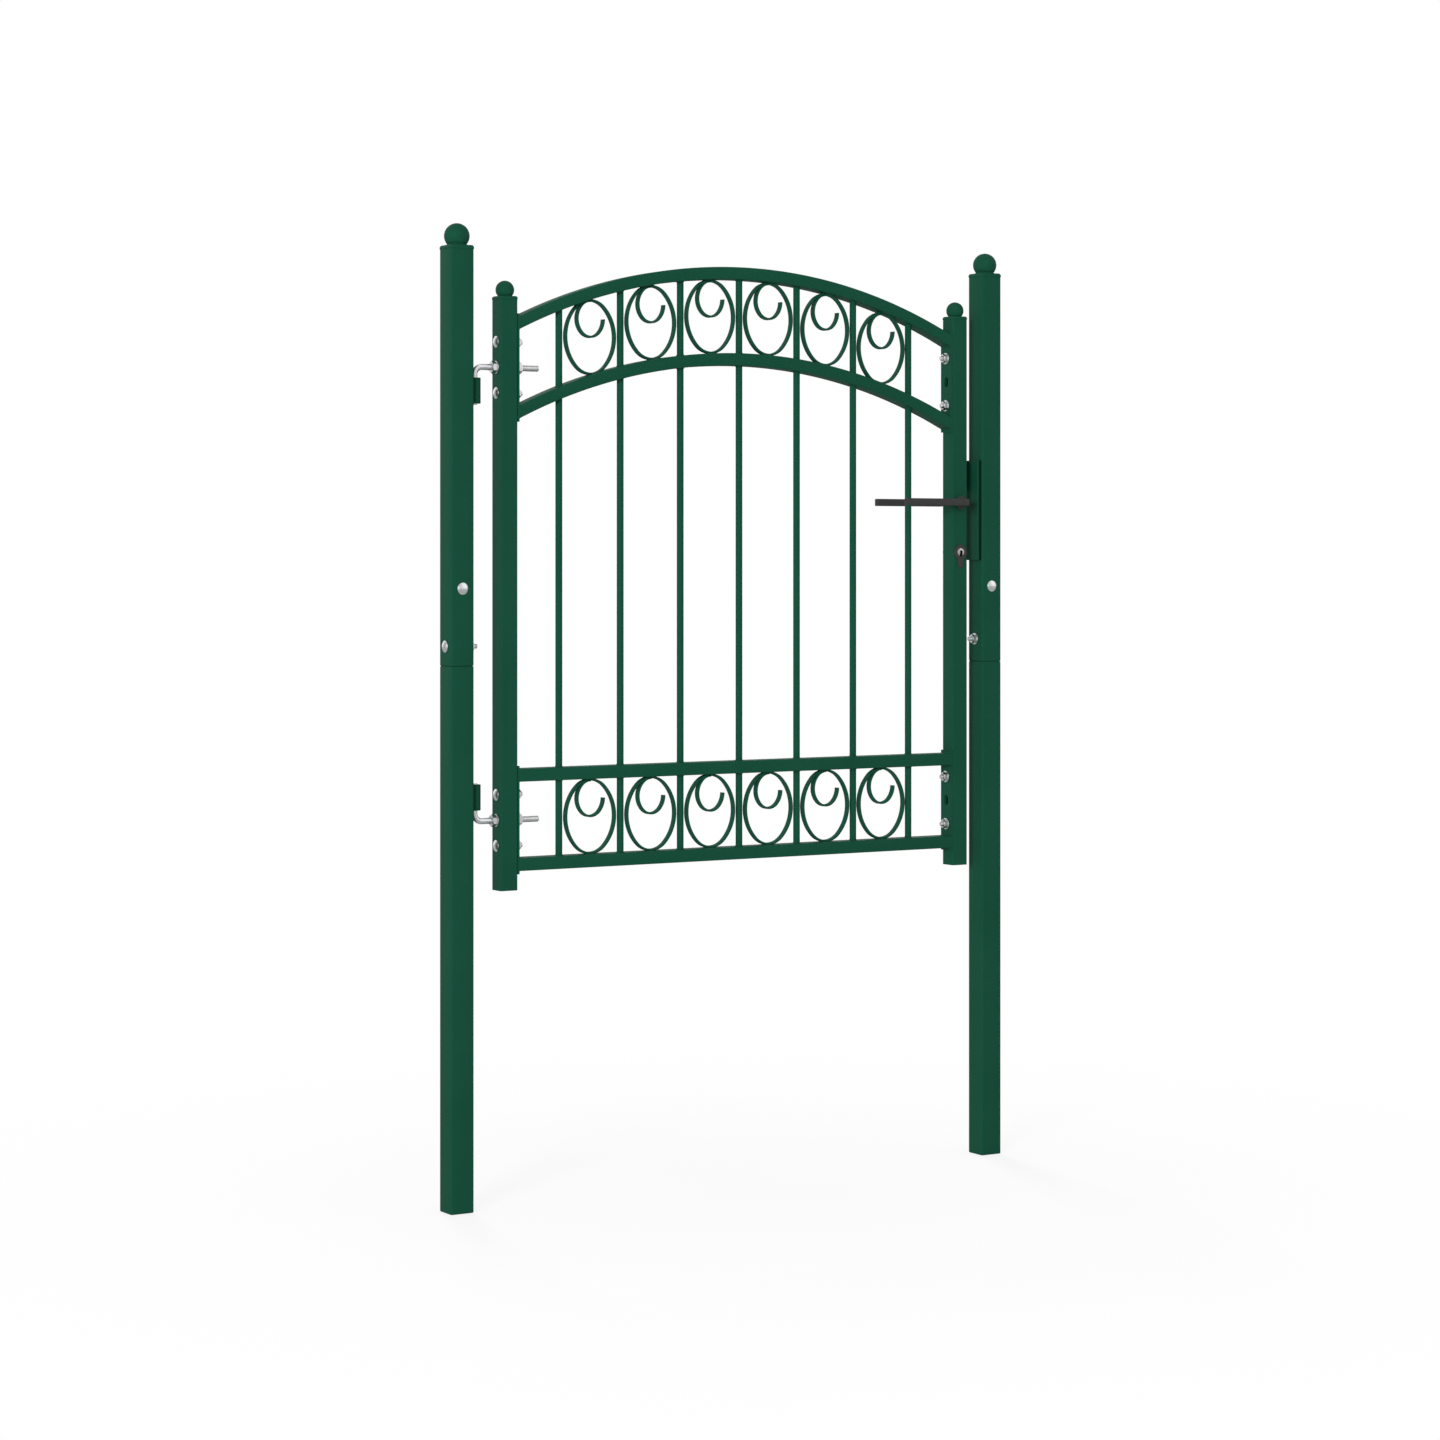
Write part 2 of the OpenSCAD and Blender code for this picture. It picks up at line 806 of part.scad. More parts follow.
module latch_upright() {
    color(green)
        difference() {
            tube(latch_up_x, leaf_bottom, upright_top, upright_w, upright_wall, upright_corner);
            plate_bores(latch_up_x, lower_mid_z);
            plate_bores(latch_up_x, upper_mid_z);
            bore_y(latch_up_x, lever_z, spindle_hole_r, upright_w);
            along_y(-upright_w, upright_w)
                cylinder_outline(cylinder_clear);
        }
}

module upright_caps() {
    for (x = [hinge_up_x, latch_up_x])
        cap(x, upright_top, upright_w, upright_wall, upright_corner, upright_cap_h,
            upright_ball_d, upright_ball_rise);
}

module upper_end_plates() {
    end_plates(upper_mid_z);
}

module lower_end_plates() {
    end_plates(lower_mid_z);
}

module top_arch() {
    arch(arch_top);
}

module lower_arch() {
    arch(arch_low);
}

module middle_rail() {
    rail(middle_rail_z);
}

module bottom_rail() {
    rail(bottom_rail_z);
}

module upper_bars() {
    color(green)
        intersection() {
            bars(arch_low - arch_drop - rail_h, arch_top);
            arch_band(arch_top - rail_h, rail_step - rail_h, 2 * rail_d);
        }
}

module middle_bars() {
    color(green)
        difference() {
            bars(middle_rail_z + rail_h, arch_low);
            above_arch(arch_low);
        }
}

module lower_bars() {
    color(green)
        bars(bottom_rail_z + rail_h, middle_rail_z);
}

module upper_scrolls() {
    color(green)
        rotate([90, 0, 0])
            linear_extrude(scroll_depth, center = true)
                difference() {
                    for (i = [0:bar_count - 2]) {
                        x = bar_first + (i + 0.5) * bar_pitch;
                        translate([x, arch_low - sag(x) + (rail_step - rail_h) / 2])
                            scroll();
                    }
                    arch_outline(arch_low, rail_h);
                    arch_outline(arch_top, rail_h);
                }
}

module lower_scrolls() {
    color(green)
        rotate([90, 0, 0])
            linear_extrude(scroll_depth, center = true)
                difference() {
                    for (i = [0:bar_count - 2])
                        translate([bar_first + (i + 0.5) * bar_pitch,
                            bottom_rail_z + rail_h + (rail_step - rail_h) / 2])
                            scroll();
                    for (z = [bottom_rail_z, middle_rail_z])
                        translate([rail_l_x, z])
                            square([rail_len, rail_h]);
                }
}

module frame_bolts() {
    color(zinc)
        at_plate_bolts()
            dome_bolt(plate_head_d, plate_face_x + plate_bolt_out);
}

module frame_washers() {
    color(zinc)
        at_plate_bolts()
            translate([plate_face_x, 0, 0])
                washer(washer_d, washer_t, bolt_d);
}

module frame_nuts() {
    color(zinc)
        at_plate_bolts()
            translate([plate_face_x + washer_t, 0, 0])
                nut(nut_af, nut_h, bolt_d);
}

module hinge_pins() {
    color(zinc) {
        hinge_pin(lower_mid_z, 1);
        hinge_pin(upper_mid_z, -1);
    }
}

module pin_washers() {
    color(zinc)
        for (z = [lower_mid_z, upper_mid_z])
            for (x = [plate_l_x - upright_w - washer_t, rail_l_x])
                translate([x, 0, z])
                    washer(pin_washer_d, washer_t, pin_d);
}

module pin_nuts() {
    color(zinc)
        for (z = [lower_mid_z, upper_mid_z])
            for (x = [plate_l_x - upright_w - washer_t - pin_nut_h, rail_l_x + washer_t])
                translate([x, 0, z])
                    nut(pin_nut_af, pin_nut_h, pin_d);
}

module lever_roses() {
    color(black)
        for (a = [0, 180])
            translate([latch_up_x, 0, lever_z])
                rotate([0, 0, a])
                    translate([0, -upright_w / 2, 0])
                        rotate([90, 0, 0])
                            difference() {
                                cylinder(d = rose_d, h = rose_t);
                                translate([0, 0, -eps])
                                    cylinder(r = lever_h / 2 + neck_clear, h = rose_t + 2 * eps);
                            }
}

module cylinder_covers() {
    face = upright_w / 2;
    color(black)
        for (y0 = [-face - cover_t, face])
            along_y(y0, y0 + cover_t)
                difference() {
                    union() {
                        circle(d = cover_d);
                        translate([-cover_tail / 2, -cover_foot + cover_tail / 2])
                            square([cover_tail, cover_foot - cover_tail / 2]);
                        translate([0, -cover_foot + cover_tail / 2])
                            circle(d = cover_tail);
                    }
                    circle(r = plug_d / 2 + cover_clear);
                }
}

module key_cylinder() {
    face = upright_w / 2;
    nose = face + cover_t + plug_out;
    color(zinc)
        difference() {
            union() {
                along_y(-face, face)
                    cylinder_outline(0);
                along_y(-nose, nose)
                    circle(d = plug_d);
            }
            for (y0 = [-nose - eps, nose - keyway_depth])
                along_y(y0, y0 + keyway_depth + eps)
                    square([keyway_w, keyway_h], center = true);
        }
}

module spindle() {
    reach = upright_w / 2 + neck_gap + spindle_in;
    color(zinc)
        translate([latch_up_x - spindle_w / 2, -reach, lever_z - spindle_w / 2])
            cube([spindle_w, 2 * reach, spindle_w]);
}

module front_lever() {
    translate([latch_up_x, 0, lever_z])
        lever();
}

module back_lever() {
    translate([latch_up_x, 0, lever_z])
        mirror([0, 1, 0])
            lever();
}

hinge_post_lower();
hinge_post_upper();
hinge_post_spigot();
hinge_post_cap();
latch_post_lower();
latch_post_upper();
latch_post_spigot();
latch_post_cap();
post_bolts();
post_washers();
post_nuts();
hinge_bushes();
strike_plate();
strike_packing();
hinge_upright();
latch_upright();
upright_caps();
upper_end_plates();
lower_end_plates();
top_arch();
lower_arch();
middle_rail();
bottom_rail();
upper_bars();
middle_bars();
lower_bars();
upper_scrolls();
lower_scrolls();
frame_bolts();
frame_washers();
frame_nuts();
hinge_pins();
pin_washers();
pin_nuts();
lever_roses();
cylinder_covers();
key_cylinder();
spindle();
front_lever();
back_lever();
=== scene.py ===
"""Fence gate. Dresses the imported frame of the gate: softened tube ends, weld beads, forged
scrolls, threaded bolts and hinge pins, the lever handles and the key cylinder, their finishes
and a plain stage."""

import json

import bpy
import numpy as np
from bpy.props import (
    FloatProperty,
    FloatVectorProperty,
    IntProperty,
    PointerProperty,
)
from bpy.types import Operator, Panel, PropertyGroup
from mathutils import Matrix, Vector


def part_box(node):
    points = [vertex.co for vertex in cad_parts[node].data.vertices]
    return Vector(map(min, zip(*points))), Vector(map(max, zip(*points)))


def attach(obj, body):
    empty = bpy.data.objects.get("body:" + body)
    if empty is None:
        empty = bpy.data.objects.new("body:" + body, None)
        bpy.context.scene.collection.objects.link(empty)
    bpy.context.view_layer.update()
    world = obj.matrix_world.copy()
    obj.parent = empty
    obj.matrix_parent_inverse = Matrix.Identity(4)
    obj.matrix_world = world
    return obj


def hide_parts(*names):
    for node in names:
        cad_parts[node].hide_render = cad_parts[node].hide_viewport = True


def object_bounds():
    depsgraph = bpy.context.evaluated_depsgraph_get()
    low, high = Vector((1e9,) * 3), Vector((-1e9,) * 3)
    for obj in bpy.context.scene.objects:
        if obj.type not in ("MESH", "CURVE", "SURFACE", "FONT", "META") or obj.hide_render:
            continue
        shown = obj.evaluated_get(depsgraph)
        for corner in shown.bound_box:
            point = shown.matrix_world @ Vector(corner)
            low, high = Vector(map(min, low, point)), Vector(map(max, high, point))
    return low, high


bl_info = {
    "name": "Fence Gate",
    "version": (1, 0, 0),
    "blender": (4, 5, 0),
    "location": "View3D > Sidebar > Gate",
    "description": "Dresses a fence gate with scrolls, bolts, hinges and finishes",
    "category": "Object",
}

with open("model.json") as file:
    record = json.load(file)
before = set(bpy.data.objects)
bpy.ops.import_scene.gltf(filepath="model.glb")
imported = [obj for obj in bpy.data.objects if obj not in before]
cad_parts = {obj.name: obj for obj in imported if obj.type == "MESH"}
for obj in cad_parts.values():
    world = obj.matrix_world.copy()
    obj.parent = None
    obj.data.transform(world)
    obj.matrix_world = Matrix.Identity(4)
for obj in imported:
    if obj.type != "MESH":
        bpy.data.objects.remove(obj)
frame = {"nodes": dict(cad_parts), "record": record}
cad_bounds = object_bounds()

MM = 0.001
X = np.array([1.0, 0.0, 0.0])
Y = np.array([0.0, 1.0, 0.0])
Z = np.array([0.0, 0.0, 1.0])


def box(node):
    """Lowest and highest corner of a CAD node, as two arrays."""
    low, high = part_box(node)
    return np.array(low), np.array(high)


def number(name, default, description, **more):
    """A number property."""
    return FloatProperty(name=name, description=description, default=default, **more)


def length(name, default, description):
    """A length property in metres."""
    return number(name, default, description, unit="LENGTH", precision=5)


def degrees(name, value, description):
    """An angle property, given in degrees."""
    return number(name, np.radians(value), description, subtype="ANGLE")


def colour(name, default, description):
    """A linear colour property."""
    return FloatVectorProperty(
        name=name, description=description, default=default, subtype="COLOR", size=3
    )


# ---------------------------------------------------------------- settings


class GateTubes(PropertyGroup):
    """Softened edges of the tubes, rails and caps."""

    post_corner: length("Post corner", 3.5 * MM, "Outside corner radius of a post")
    end_round: length("End rounding", 1.8 * MM, "Rounding of a post section's cut ends")
    rail_edge: length("Rail edge", 1.9 * MM, "Edge radius of the rails and arches")
    cap_edge: length("Cap edge", 4.0 * MM, "Radius of a cap's top edge")
    cap_corner: length("Cap corner", 4.3 * MM, "Corner radius of a post cap")
    small_cap_corner: length("Small cap corner", 3.3 * MM, "Corner radius of an upright's cap")
    post_cap: length("Post cap", 6.0 * MM, "Thickness of a post's cap")
    small_cap: length("Small cap", 5.0 * MM, "Thickness of an upright's cap")
    post_ball: length("Post ball", 39.5 * MM, "Diameter of a post's ball")
    small_ball: length("Small ball", 29.0 * MM, "Diameter of an upright's ball")
    cap_foot: length("Cap foot", 0.2 * MM, "Chamfer round a cap's underside")
    cut_edge: length("Cut edge", 0.05 * MM, "Rounding of a rail's cut ends")
    arch_steps: IntProperty(name="Arch steps", description="Rings along an arch", default=300)
    ball_neck: number("Ball neck", 0.79, "Width of the neck under a ball, as a share of the ball")
    neck_foot: length("Neck foot", 0.5 * MM, "How far a neck is let into its cap")
    groove_foot: length("Groove foot", 0.35 * MM, "Where a neck starts to narrow, under its crease")
    groove_top: length("Groove top", 0.45 * MM, "Where a ball starts, over its crease")
    groove: length("Groove", 1.1 * MM, "Depth of the groove between a neck and its ball")


class GateInfill(PropertyGroup):
    """Bars, scrolls and their welds."""

    bars: IntProperty(name="Bars", description="Number of round bars", default=7)
    strip: length("Strip", 3.5 * MM, "Thickness of the scroll strip")
    strip_edge: length("Strip edge", 0.8 * MM, "Edge radius of the scroll strip")
    scroll_flat: length("Scroll flat", 9.5 * MM, "Half width of a scroll less its end radius")
    scroll_bite: length("Scroll bite", 0.3 * MM, "How far a scroll is let into the rails")
    curl_width: length("Curl width", 51.0 * MM, "Width of the inner curl")
    curl_height: length("Curl height", 60.0 * MM, "Height of the inner curl")
    curl_flat: length("Curl flat", 3.0 * MM, "Half width of a curl less its end radius")
    curl_drop: length("Curl drop", 1.0 * MM, "Drop of the curl's top in the scroll")
    bead: length("Weld bead", 1.3 * MM, "Radius of the bead round a bar's end")
    tack: length("Tack weld", 1.2 * MM, "Radius of the tacks where a scroll meets a rail")
    plate_bead: length("Plate bead", 1.6 * MM, "Radius of the bead between a rail and its plate")
    plate_bead_end: length("Plate bead end", 1.5 * MM, "A plate bead's distance from a rail's edge")


class GateFixings(PropertyGroup):
    """Bolts, nuts, washers, pins and bushes."""

    bolt: length("Bolt", 8.0 * MM, "Diameter of the bolts")
    bolt_pitch: length("Bolt pitch", 1.25 * MM, "Pitch of the bolts' thread")
    head: length("Head height", 4.0 * MM, "Height of a domed head")
    rim: length("Head rim", 0.7 * MM, "Height of the rim under a domed head")
    post_head: length("Post head", 18.5 * MM, "Diameter of a post bolt's head")
    plate_head: length("Plate head", 18.0 * MM, "Diameter of a plate bolt's head")
    washer: length("Washer", 1.6 * MM, "Thickness of a washer")
    washer_size: length("Washer size", 19.0 * MM, "Diameter of a bolt's washer")
    pin_washer: length("Pin washer", 20.0 * MM, "Diameter of a pin's washer")
    plate_reach: length("Plate reach", 11.5 * MM, "How far a bolt ends beyond its end plate")
    nut: length("Nut", 13.0 * MM, "Width of a nut across its flats")
    nut_height: length("Nut height", 6.5 * MM, "Height of a nut")
    nut_bite: length("Nut bite", 0.1 * MM, "How far a nut's bore reaches into the thread")
    washer_edge: length("Washer edge", 0.3 * MM, "Rounding of a washer's rims")
    washer_play: length("Washer play", 0.1 * MM, "Gap between a washer and what passes through it")
    post_thread: length("Post thread", 2.0 * MM, "How far a post bolt's thread runs into the post")
    plate_thread: length("Plate thread", 1.0 * MM, "How far a plate bolt's thread runs inwards")
    pin: length("Pin", 10.0 * MM, "Diameter of a hinge pin")
    pin_pitch: length("Pin pitch", 1.5 * MM, "Pitch of a pin's thread")
    pin_bend: length("Pin bend", 12.0 * MM, "Bend radius of a pin's centre line")
    pin_play: length("Pin play", 0.05 * MM, "Gap between a pin and its bush")
    pin_thread: length("Pin thread", 2.0 * MM, "How far a pin's thread runs past its outer nut")
    pin_past: length("Pin past", 2.0 * MM, "How far a pin's leg ends past its bush")
    pin_nut: length("Pin nut", 17.0 * MM, "Width of a pin's nut across its flats")
    pin_nut_height: length("Pin nut height", 8.0 * MM, "Height of a pin's nut")
    bush: length("Bush", 40.0 * MM, "Length of a hinge bush")
    bush_edge: length("Bush edge", 0.8 * MM, "Rounding of a bush's rims")
    bush_bead: length("Bush bead", 2.0 * MM, "Radius of the beads between a bush and the post")
    bush_bead_side: length("Bush bead side", 5.6 * MM, "A bead's distance from the bush's middle")
    bush_bead_rise: length("Bush bead rise", 1.3 * MM, "A bead's distance from the post's face")
    bush_bead_end: length("Bush bead end", 0.5 * MM, "A bead's distance from the bush's ends")


class GateLock(PropertyGroup):
    """Lever handles and key cylinder."""

    lever: length("Lever", 10.0 * MM, "Thickness of a lever's grip")
    lever_bend: length("Lever bend", 15.0 * MM, "Bend radius of a lever's centre line")
    lever_edge: length("Lever edge", 2.0 * MM, "Corner radius of the grip")
    lever_end: length("Lever end", 1.2 * MM, "Rounding of the grip's end")
    lever_squared: degrees("Lever squared", 36.0, "Turn within which the round neck turns square")
    neck_gap: length("Neck gap", 0.5 * MM, "Gap between a neck and the upright")
    rose_edge: length("Rose edge", 0.9 * MM, "Rounding of a rose's rim")
    rose_play: length("Rose play", 0.08 * MM, "Gap between a rose and the neck")
    cover: length("Cover", 25.5 * MM, "Diameter of the cylinder cover's round part")
    cover_tail: length("Cover tail", 11.5 * MM, "Width of the cover's tail")
    cover_edge: length("Cover edge", 0.8 * MM, "Rounding of the cover's rim")
    cover_play: length("Cover play", 0.2 * MM, "Gap between the cover and the plug")
    plug: length("Plug", 14.0 * MM, "Diameter of the plug")
    plug_edge: length("Plug edge", 0.3 * MM, "Width of the bevel round a plug's face")
    keyway: length("Keyway", 5.0 * MM, "Width of the keyway")
    keyway_height: length("Keyway height", 10.4 * MM, "Height of the keyway")
    keyway_drop: length("Keyway drop", 2.2 * MM, "How far the keyway sits under the plug's middle")
    keyway_depth: length("Keyway depth", 3.0 * MM, "Depth of the keyway")
    keyway_wave: length("Keyway wave", 0.35 * MM, "How far the keyway's sides swing")
    keyway_wall: length("Keyway wall", 0.5 * MM, "Least wall between the keyway and the plug's rim")


class GateFinish(PropertyGroup):
    """Colours of the finishes, and of the painted shade in the keyway and at the packing."""

    coat: colour("Coat", (0.0070, 0.0650, 0.0372), "Moss green powder coat")
    coat_deep: colour("Deep coat", (0.0054, 0.0590, 0.0330), "Powder coat where it lies thick")
    zinc: colour("Zinc", (0.78, 0.79, 0.80), "Bright zinc plate")
    zinc_dull: colour("Dull zinc", (0.68, 0.69, 0.70), "Zinc plate where it is dull")
    black: colour("Black", (0.033, 0.033, 0.034), "Matt black coat of the handle")
    plug: colour("Plug", (0.46, 0.46, 0.45), "Nickel plate of the key plug")
    # painted shade: the near-black that stands in for the shadowed inside of the keyway
    keyway_shade: colour("Hollow", (0.002, 0.002, 0.002), "Dark inside of the keyway")
    # painted shadow: the green-black that stands in for the shadowed gap at the strike plate's
    # front edge
    gap_shade: colour("Rubber", (0.0022, 0.0135, 0.0075), "Green-black rubber of the packing")


class GateStage(PropertyGroup):
    """Camera, lamps and floor. A lamp's turn runs from straight in front towards the left."""

    camera: FloatVectorProperty(
        name="Camera", description="Camera position", default=(-2.3946, -4.6807, 1.0043),
        size=3, unit="LENGTH",
    )
    heading: degrees("Heading", -31.51, "Turn of the level camera from the Y axis")
    lens: number("Lens", 85.2, "Focal length in millimetres")
    rise: number("Rise", -0.1117, "Camera shift upwards")
    fill: number("Fill", 0.58, "Light from all round")
    room: number("Room", 0.2, "Light that metal mirrors from the room between its soft lights")
    away: length("Away", 14.0, "Distance of the lamps from the gate")
    lamp_width: length("Lamp width", 3.5, "Width of a square lamp")
    key: number("Key", 1400.0, "Power of the key lamp in watts")
    key_turn: degrees("Key turn", 50.0, "Turn of the key lamp")
    key_rise: degrees("Key rise", 8.0, "Height of the key lamp as an angle")
    back: number("Back", 700.0, "Power of the back lamp in watts")
    back_turn: degrees("Back turn", -165.0, "Turn of the back lamp")
    back_rise: degrees("Back rise", 30.0, "Height of the back lamp as an angle")
    floor_tone: number("Floor tone", 0.75, "Share of its light that the floor gives back")
    floor_mirrored: number("Floor mirrored", 0.5, "How light the floor is in metal")
    shadow: number("Shadow", 0.35, "How much of the floor's shadow shows")
    shadow_reach: length("Shadow reach", 2.0, "Distance at which the shadow has faded out")


SETTINGS = {
    "gate_tubes": GateTubes,
    "gate_infill": GateInfill,
    "gate_fixings": GateFixings,
    "gate_lock": GateLock,
    "gate_finish": GateFinish,
    "gate_stage": GateStage,
}


# ---------------------------------------------------------------- shapes


class Shell:
    """Closed surfaces gathered into one mesh, each with its faces pointing outwards."""

    def __init__(self):
        self.points = []
        self.faces = []
        self.total = 0

    def add(self, rings, loop=False):
        """Adds the surface through rings[i, j], where j runs round each closed ring and i from
        ring to ring. The last ring joins the first where loop is set, or else each end is
        closed to its middle point. The faces are turned by the sign of the enclosed volume."""
        count, around = rings.shape[:2]
        points = rings.reshape(-1, 3)
        i = np.arange(count if loop else count - 1)[:, None]
        j = np.arange(around)[None, :]
        here, there = i * around, (i + 1) % count * around
        ahead = (j + 1) % around
        quads = np.stack([here + j, here + ahead, there + ahead, there + j], -1).reshape(-1, 4)
        triangles = np.zeros((0, 3), int)
        if not loop:
            points = np.vstack([points, rings[0].mean(0), rings[-1].mean(0)])
            j, ahead = j[0], ahead[0]
            first = np.full(around, count * around)
            end = (count - 1) * around
            triangles = np.vstack([
                np.stack([first, ahead, j], -1),
                np.stack([first + 1, end + j, end + ahead], -1),
            ])
        corners = points - points.mean(0)
        fans = np.vstack([quads[:, [0, 1, 2]], quads[:, [0, 2, 3]], triangles])
        a, b, c = (corners[fans[:, k]] for k in range(3))
        if np.einsum("ij,ij->", a, np.cross(b, c)) < 0:
            quads, triangles = quads[:, ::-1], triangles[:, ::-1]
        self.points.append(points)
        self.faces += [quads + self.total, triangles + self.total]
        self.total += len(points)
        return self

    def mirrored(self, axis, middle):
        """A copy reflected across the plane at middle on an axis, its faces turned back."""
        copy = Shell()
        flip = np.ones(3)
        flip[axis] = -1
        shift = np.zeros(3)
        shift[axis] = 2 * middle
        copy.points = [p * flip + shift for p in self.points]
        copy.faces = [f[:, ::-1] for f in self.faces]
        copy.total = self.total
        return copy

    def join(self, other):
        """Adds another shell's surfaces."""
        self.points += other.points
        self.faces += [f + self.total for f in other.faces]
        self.total += other.total
        return self

    def both_sides(self):
        """The shell on this side of the leaf's middle plane, and its mirror image."""
        return self.mirrored(1, 0).join(self)


def xyz(x, y, z):
    """Points from three coordinates, each a number or an array."""
    return np.stack(np.broadcast_arrays(x, y, z), -1)


def turns(count):
    """Equal steps of an angle once round."""
    return 2 * np.pi * np.arange(count) / count


def circle(radius, count):
    """Points of a circle, anticlockwise."""
    angle = turns(count)
    return radius * np.stack([np.cos(angle), np.sin(angle)], -1)


def rounded_box(width, height, radius, steps=6):
    """A rectangle with rounded corners: a quarter circle in each corner."""
    q = np.linspace(0, np.pi / 2, steps)
    angle = (q[None, :] + np.pi / 2 * np.arange(4)[:, None]).ravel()
    side = np.repeat([[1, 1], [-1, 1], [-1, -1], [1, -1]], steps, axis=0)
    middle = side * [width / 2 - radius, height / 2 - radius]
    return middle + radius * np.stack([np.cos(angle), np.sin(angle)], -1)


def sweep(centres, across, up, outlines):
    """An outline carried along a path: centre plus x times across plus y times up. Across, up
    and the outline may change from ring to ring."""
    across = np.broadcast_to(across, centres.shape)
    up = np.broadcast_to(up, centres.shape)
    return (
        centres[:, None]
        + outlines[..., 0, None] * across[:, None]
        + outlines[..., 1, None] * up[:, None]
    )


def lathe(along, radius, base, axis, side, around=48):
    """A turned surface: ring i lies along[i] from base on the axis, at radius[i], or at
    radius[i, j] where it changes round the axis too. Angle 0 points to side."""
    along = np.asarray(along, float)
    radius = np.asarray(radius, float)
    if radius.ndim == 1:
        radius = np.repeat(radius[:, None], around, axis=1)
    angle = turns(radius.shape[1])
    spokes = np.cos(angle)[:, None] * side + np.sin(angle)[:, None] * np.cross(axis, side)
    return base + along[:, None, None] * axis + radius[..., None] * spokes[None]


def soft_ends(span, round_off, steps=5):
    """Stations along a bar whose two ends are rounded off by a quarter circle, and the inset
    of its outline at each."""
    q = np.linspace(0, np.pi / 2, steps)
    near, inset = round_off * (1 - np.cos(q)), round_off * (1 - np.sin(q))
    return np.concatenate([near, (span - near)[::-1]]), np.concatenate([inset, inset[::-1]])


def square_bar(base, axis, across, up, span, width, height, corner, round_off):
    """A bar of rounded square section with softened ends."""
    stations, inset = soft_ends(span, round_off)
    outlines = np.array([
        rounded_box(width - 2 * d, height - 2 * d, max(corner - d, corner / 4)) for d in inset
    ])
    return sweep(base + stations[:, None] * axis, across, up, outlines)


def ring_section(inner, outer, low, high, edge, steps=4):
    """The section of a ring with rounded outer rims, as stations and radii of a closed loop."""
    q = np.linspace(0, np.pi / 2, steps)
    out_low = np.stack([low + edge * (1 - np.cos(q)), outer - edge * (1 - np.sin(q))], -1)
    out_high = np.stack([high - edge * (1 - np.sin(q)), outer - edge * (1 - np.cos(q))], -1)
    loop = np.vstack([[low, inner], out_low, out_high, [high, inner]])
    return loop[:, 0], loop[:, 1]


def hexagon(flats, around=48):
    """Radius of a hexagon round its middle, with a corner at angle 0."""
    return flats / 2 / np.cos(turns(around) % (np.pi / 3) - np.pi / 6)


def nut_rings(flats, height, bore, base, axis):
    """A nut: the smaller of a hexagon and a cone of 30 degrees at each face, with a plain bore
    and a small countersink."""
    sink, widening = 0.6 * MM, 0.5 * MM
    chamfer = np.linspace(0, 0.075 * flats, 6)
    z = np.concatenate([
        [sink, 0.0], chamfer, (height - chamfer)[::-1], [height, height - sink]
    ])
    cone = 0.475 * flats + np.minimum(z, height - z) * np.sqrt(3)
    radius = np.minimum(hexagon(flats)[None, :], cone[:, None])
    radius[[0, -1]] = bore
    radius[[1, -2]] = bore + widening
    return lathe(z, radius, base, axis, Z)


def thread_radius(z, size, pitch, start, end, around=32):
    """Radius of a rod with a cut thread: a rounded triangle wave that climbs one pitch a turn,
    from start to end, and a chamfer at the end."""
    turn = np.arange(around) / around
    wave = np.abs(2 * ((z[:, None] / pitch - turn[None, :]) % 1.0) - 1)
    depth = 0.25 * pitch * np.clip((z - start) / pitch, 0, 1)
    cut = depth[:, None] * np.clip(1.3 * wave - 0.15, 0, 1)
    chamfer = size / 2 - 0.08 * size + (end - z)
    return np.minimum(size / 2 - cut, chamfer[:, None])


def thread_stations(start, end, pitch):
    """Stations along a thread, eight to a pitch."""
    return np.linspace(start, end, max(int(round((end - start) / pitch * 8)), 4))


def dome_bolt(fix, head, base, axis, span, thread):
    """A domed bolt: part of a sphere head wide, a thin rim, a plain shank and a cut thread. Its
    head lies against base and its end is span further on."""
    size, pitch, rise, under = fix.bolt, fix.bolt_pitch, fix.head - fix.rim, 0.2 * MM
    ball = (head * head / 4 + rise * rise) / (2 * rise)
    q = np.linspace(0.04, 1, 12) * np.arcsin(head / 2 / ball)
    z = [-fix.head + ball * (1 - np.cos(q)), [-0.3 * fix.rim, 0.0, 0.0]]
    r = [ball * np.sin(q), [head / 2, head / 2 - under, size / 2]]
    cut = thread_stations(span - thread, span, pitch)
    r = np.repeat(np.concatenate(r)[:, None], 32, axis=1)
    r = np.vstack([r, thread_radius(cut, size, pitch, span - thread, span)])
    return lathe(np.concatenate(z + [cut]), r, base, axis, Z)


def bead_rings(centres, across, up, radius, ripple=0.14, wave=2.6 * MM):
    """A weld bead: a round bar along a path whose radius swells and falls in ripples and
    shrinks to nothing at both ends."""
    step = np.linalg.norm(np.diff(centres, axis=0), axis=1)
    run = np.concatenate([[0], np.cumsum(step)])
    ends = np.minimum(run, run[-1] - run) / radius
    fade = np.sqrt(np.clip(1 - (1 - np.clip(ends, 0.02, 1)) ** 2, 0, 1))
    r = radius * fade * (1 + ripple * np.sin(2 * np.pi * run / wave))
    return sweep(centres, across, up, r[:, None, None] * circle(1.0, 12)[None])


# ---------------------------------------------------------------- pieces


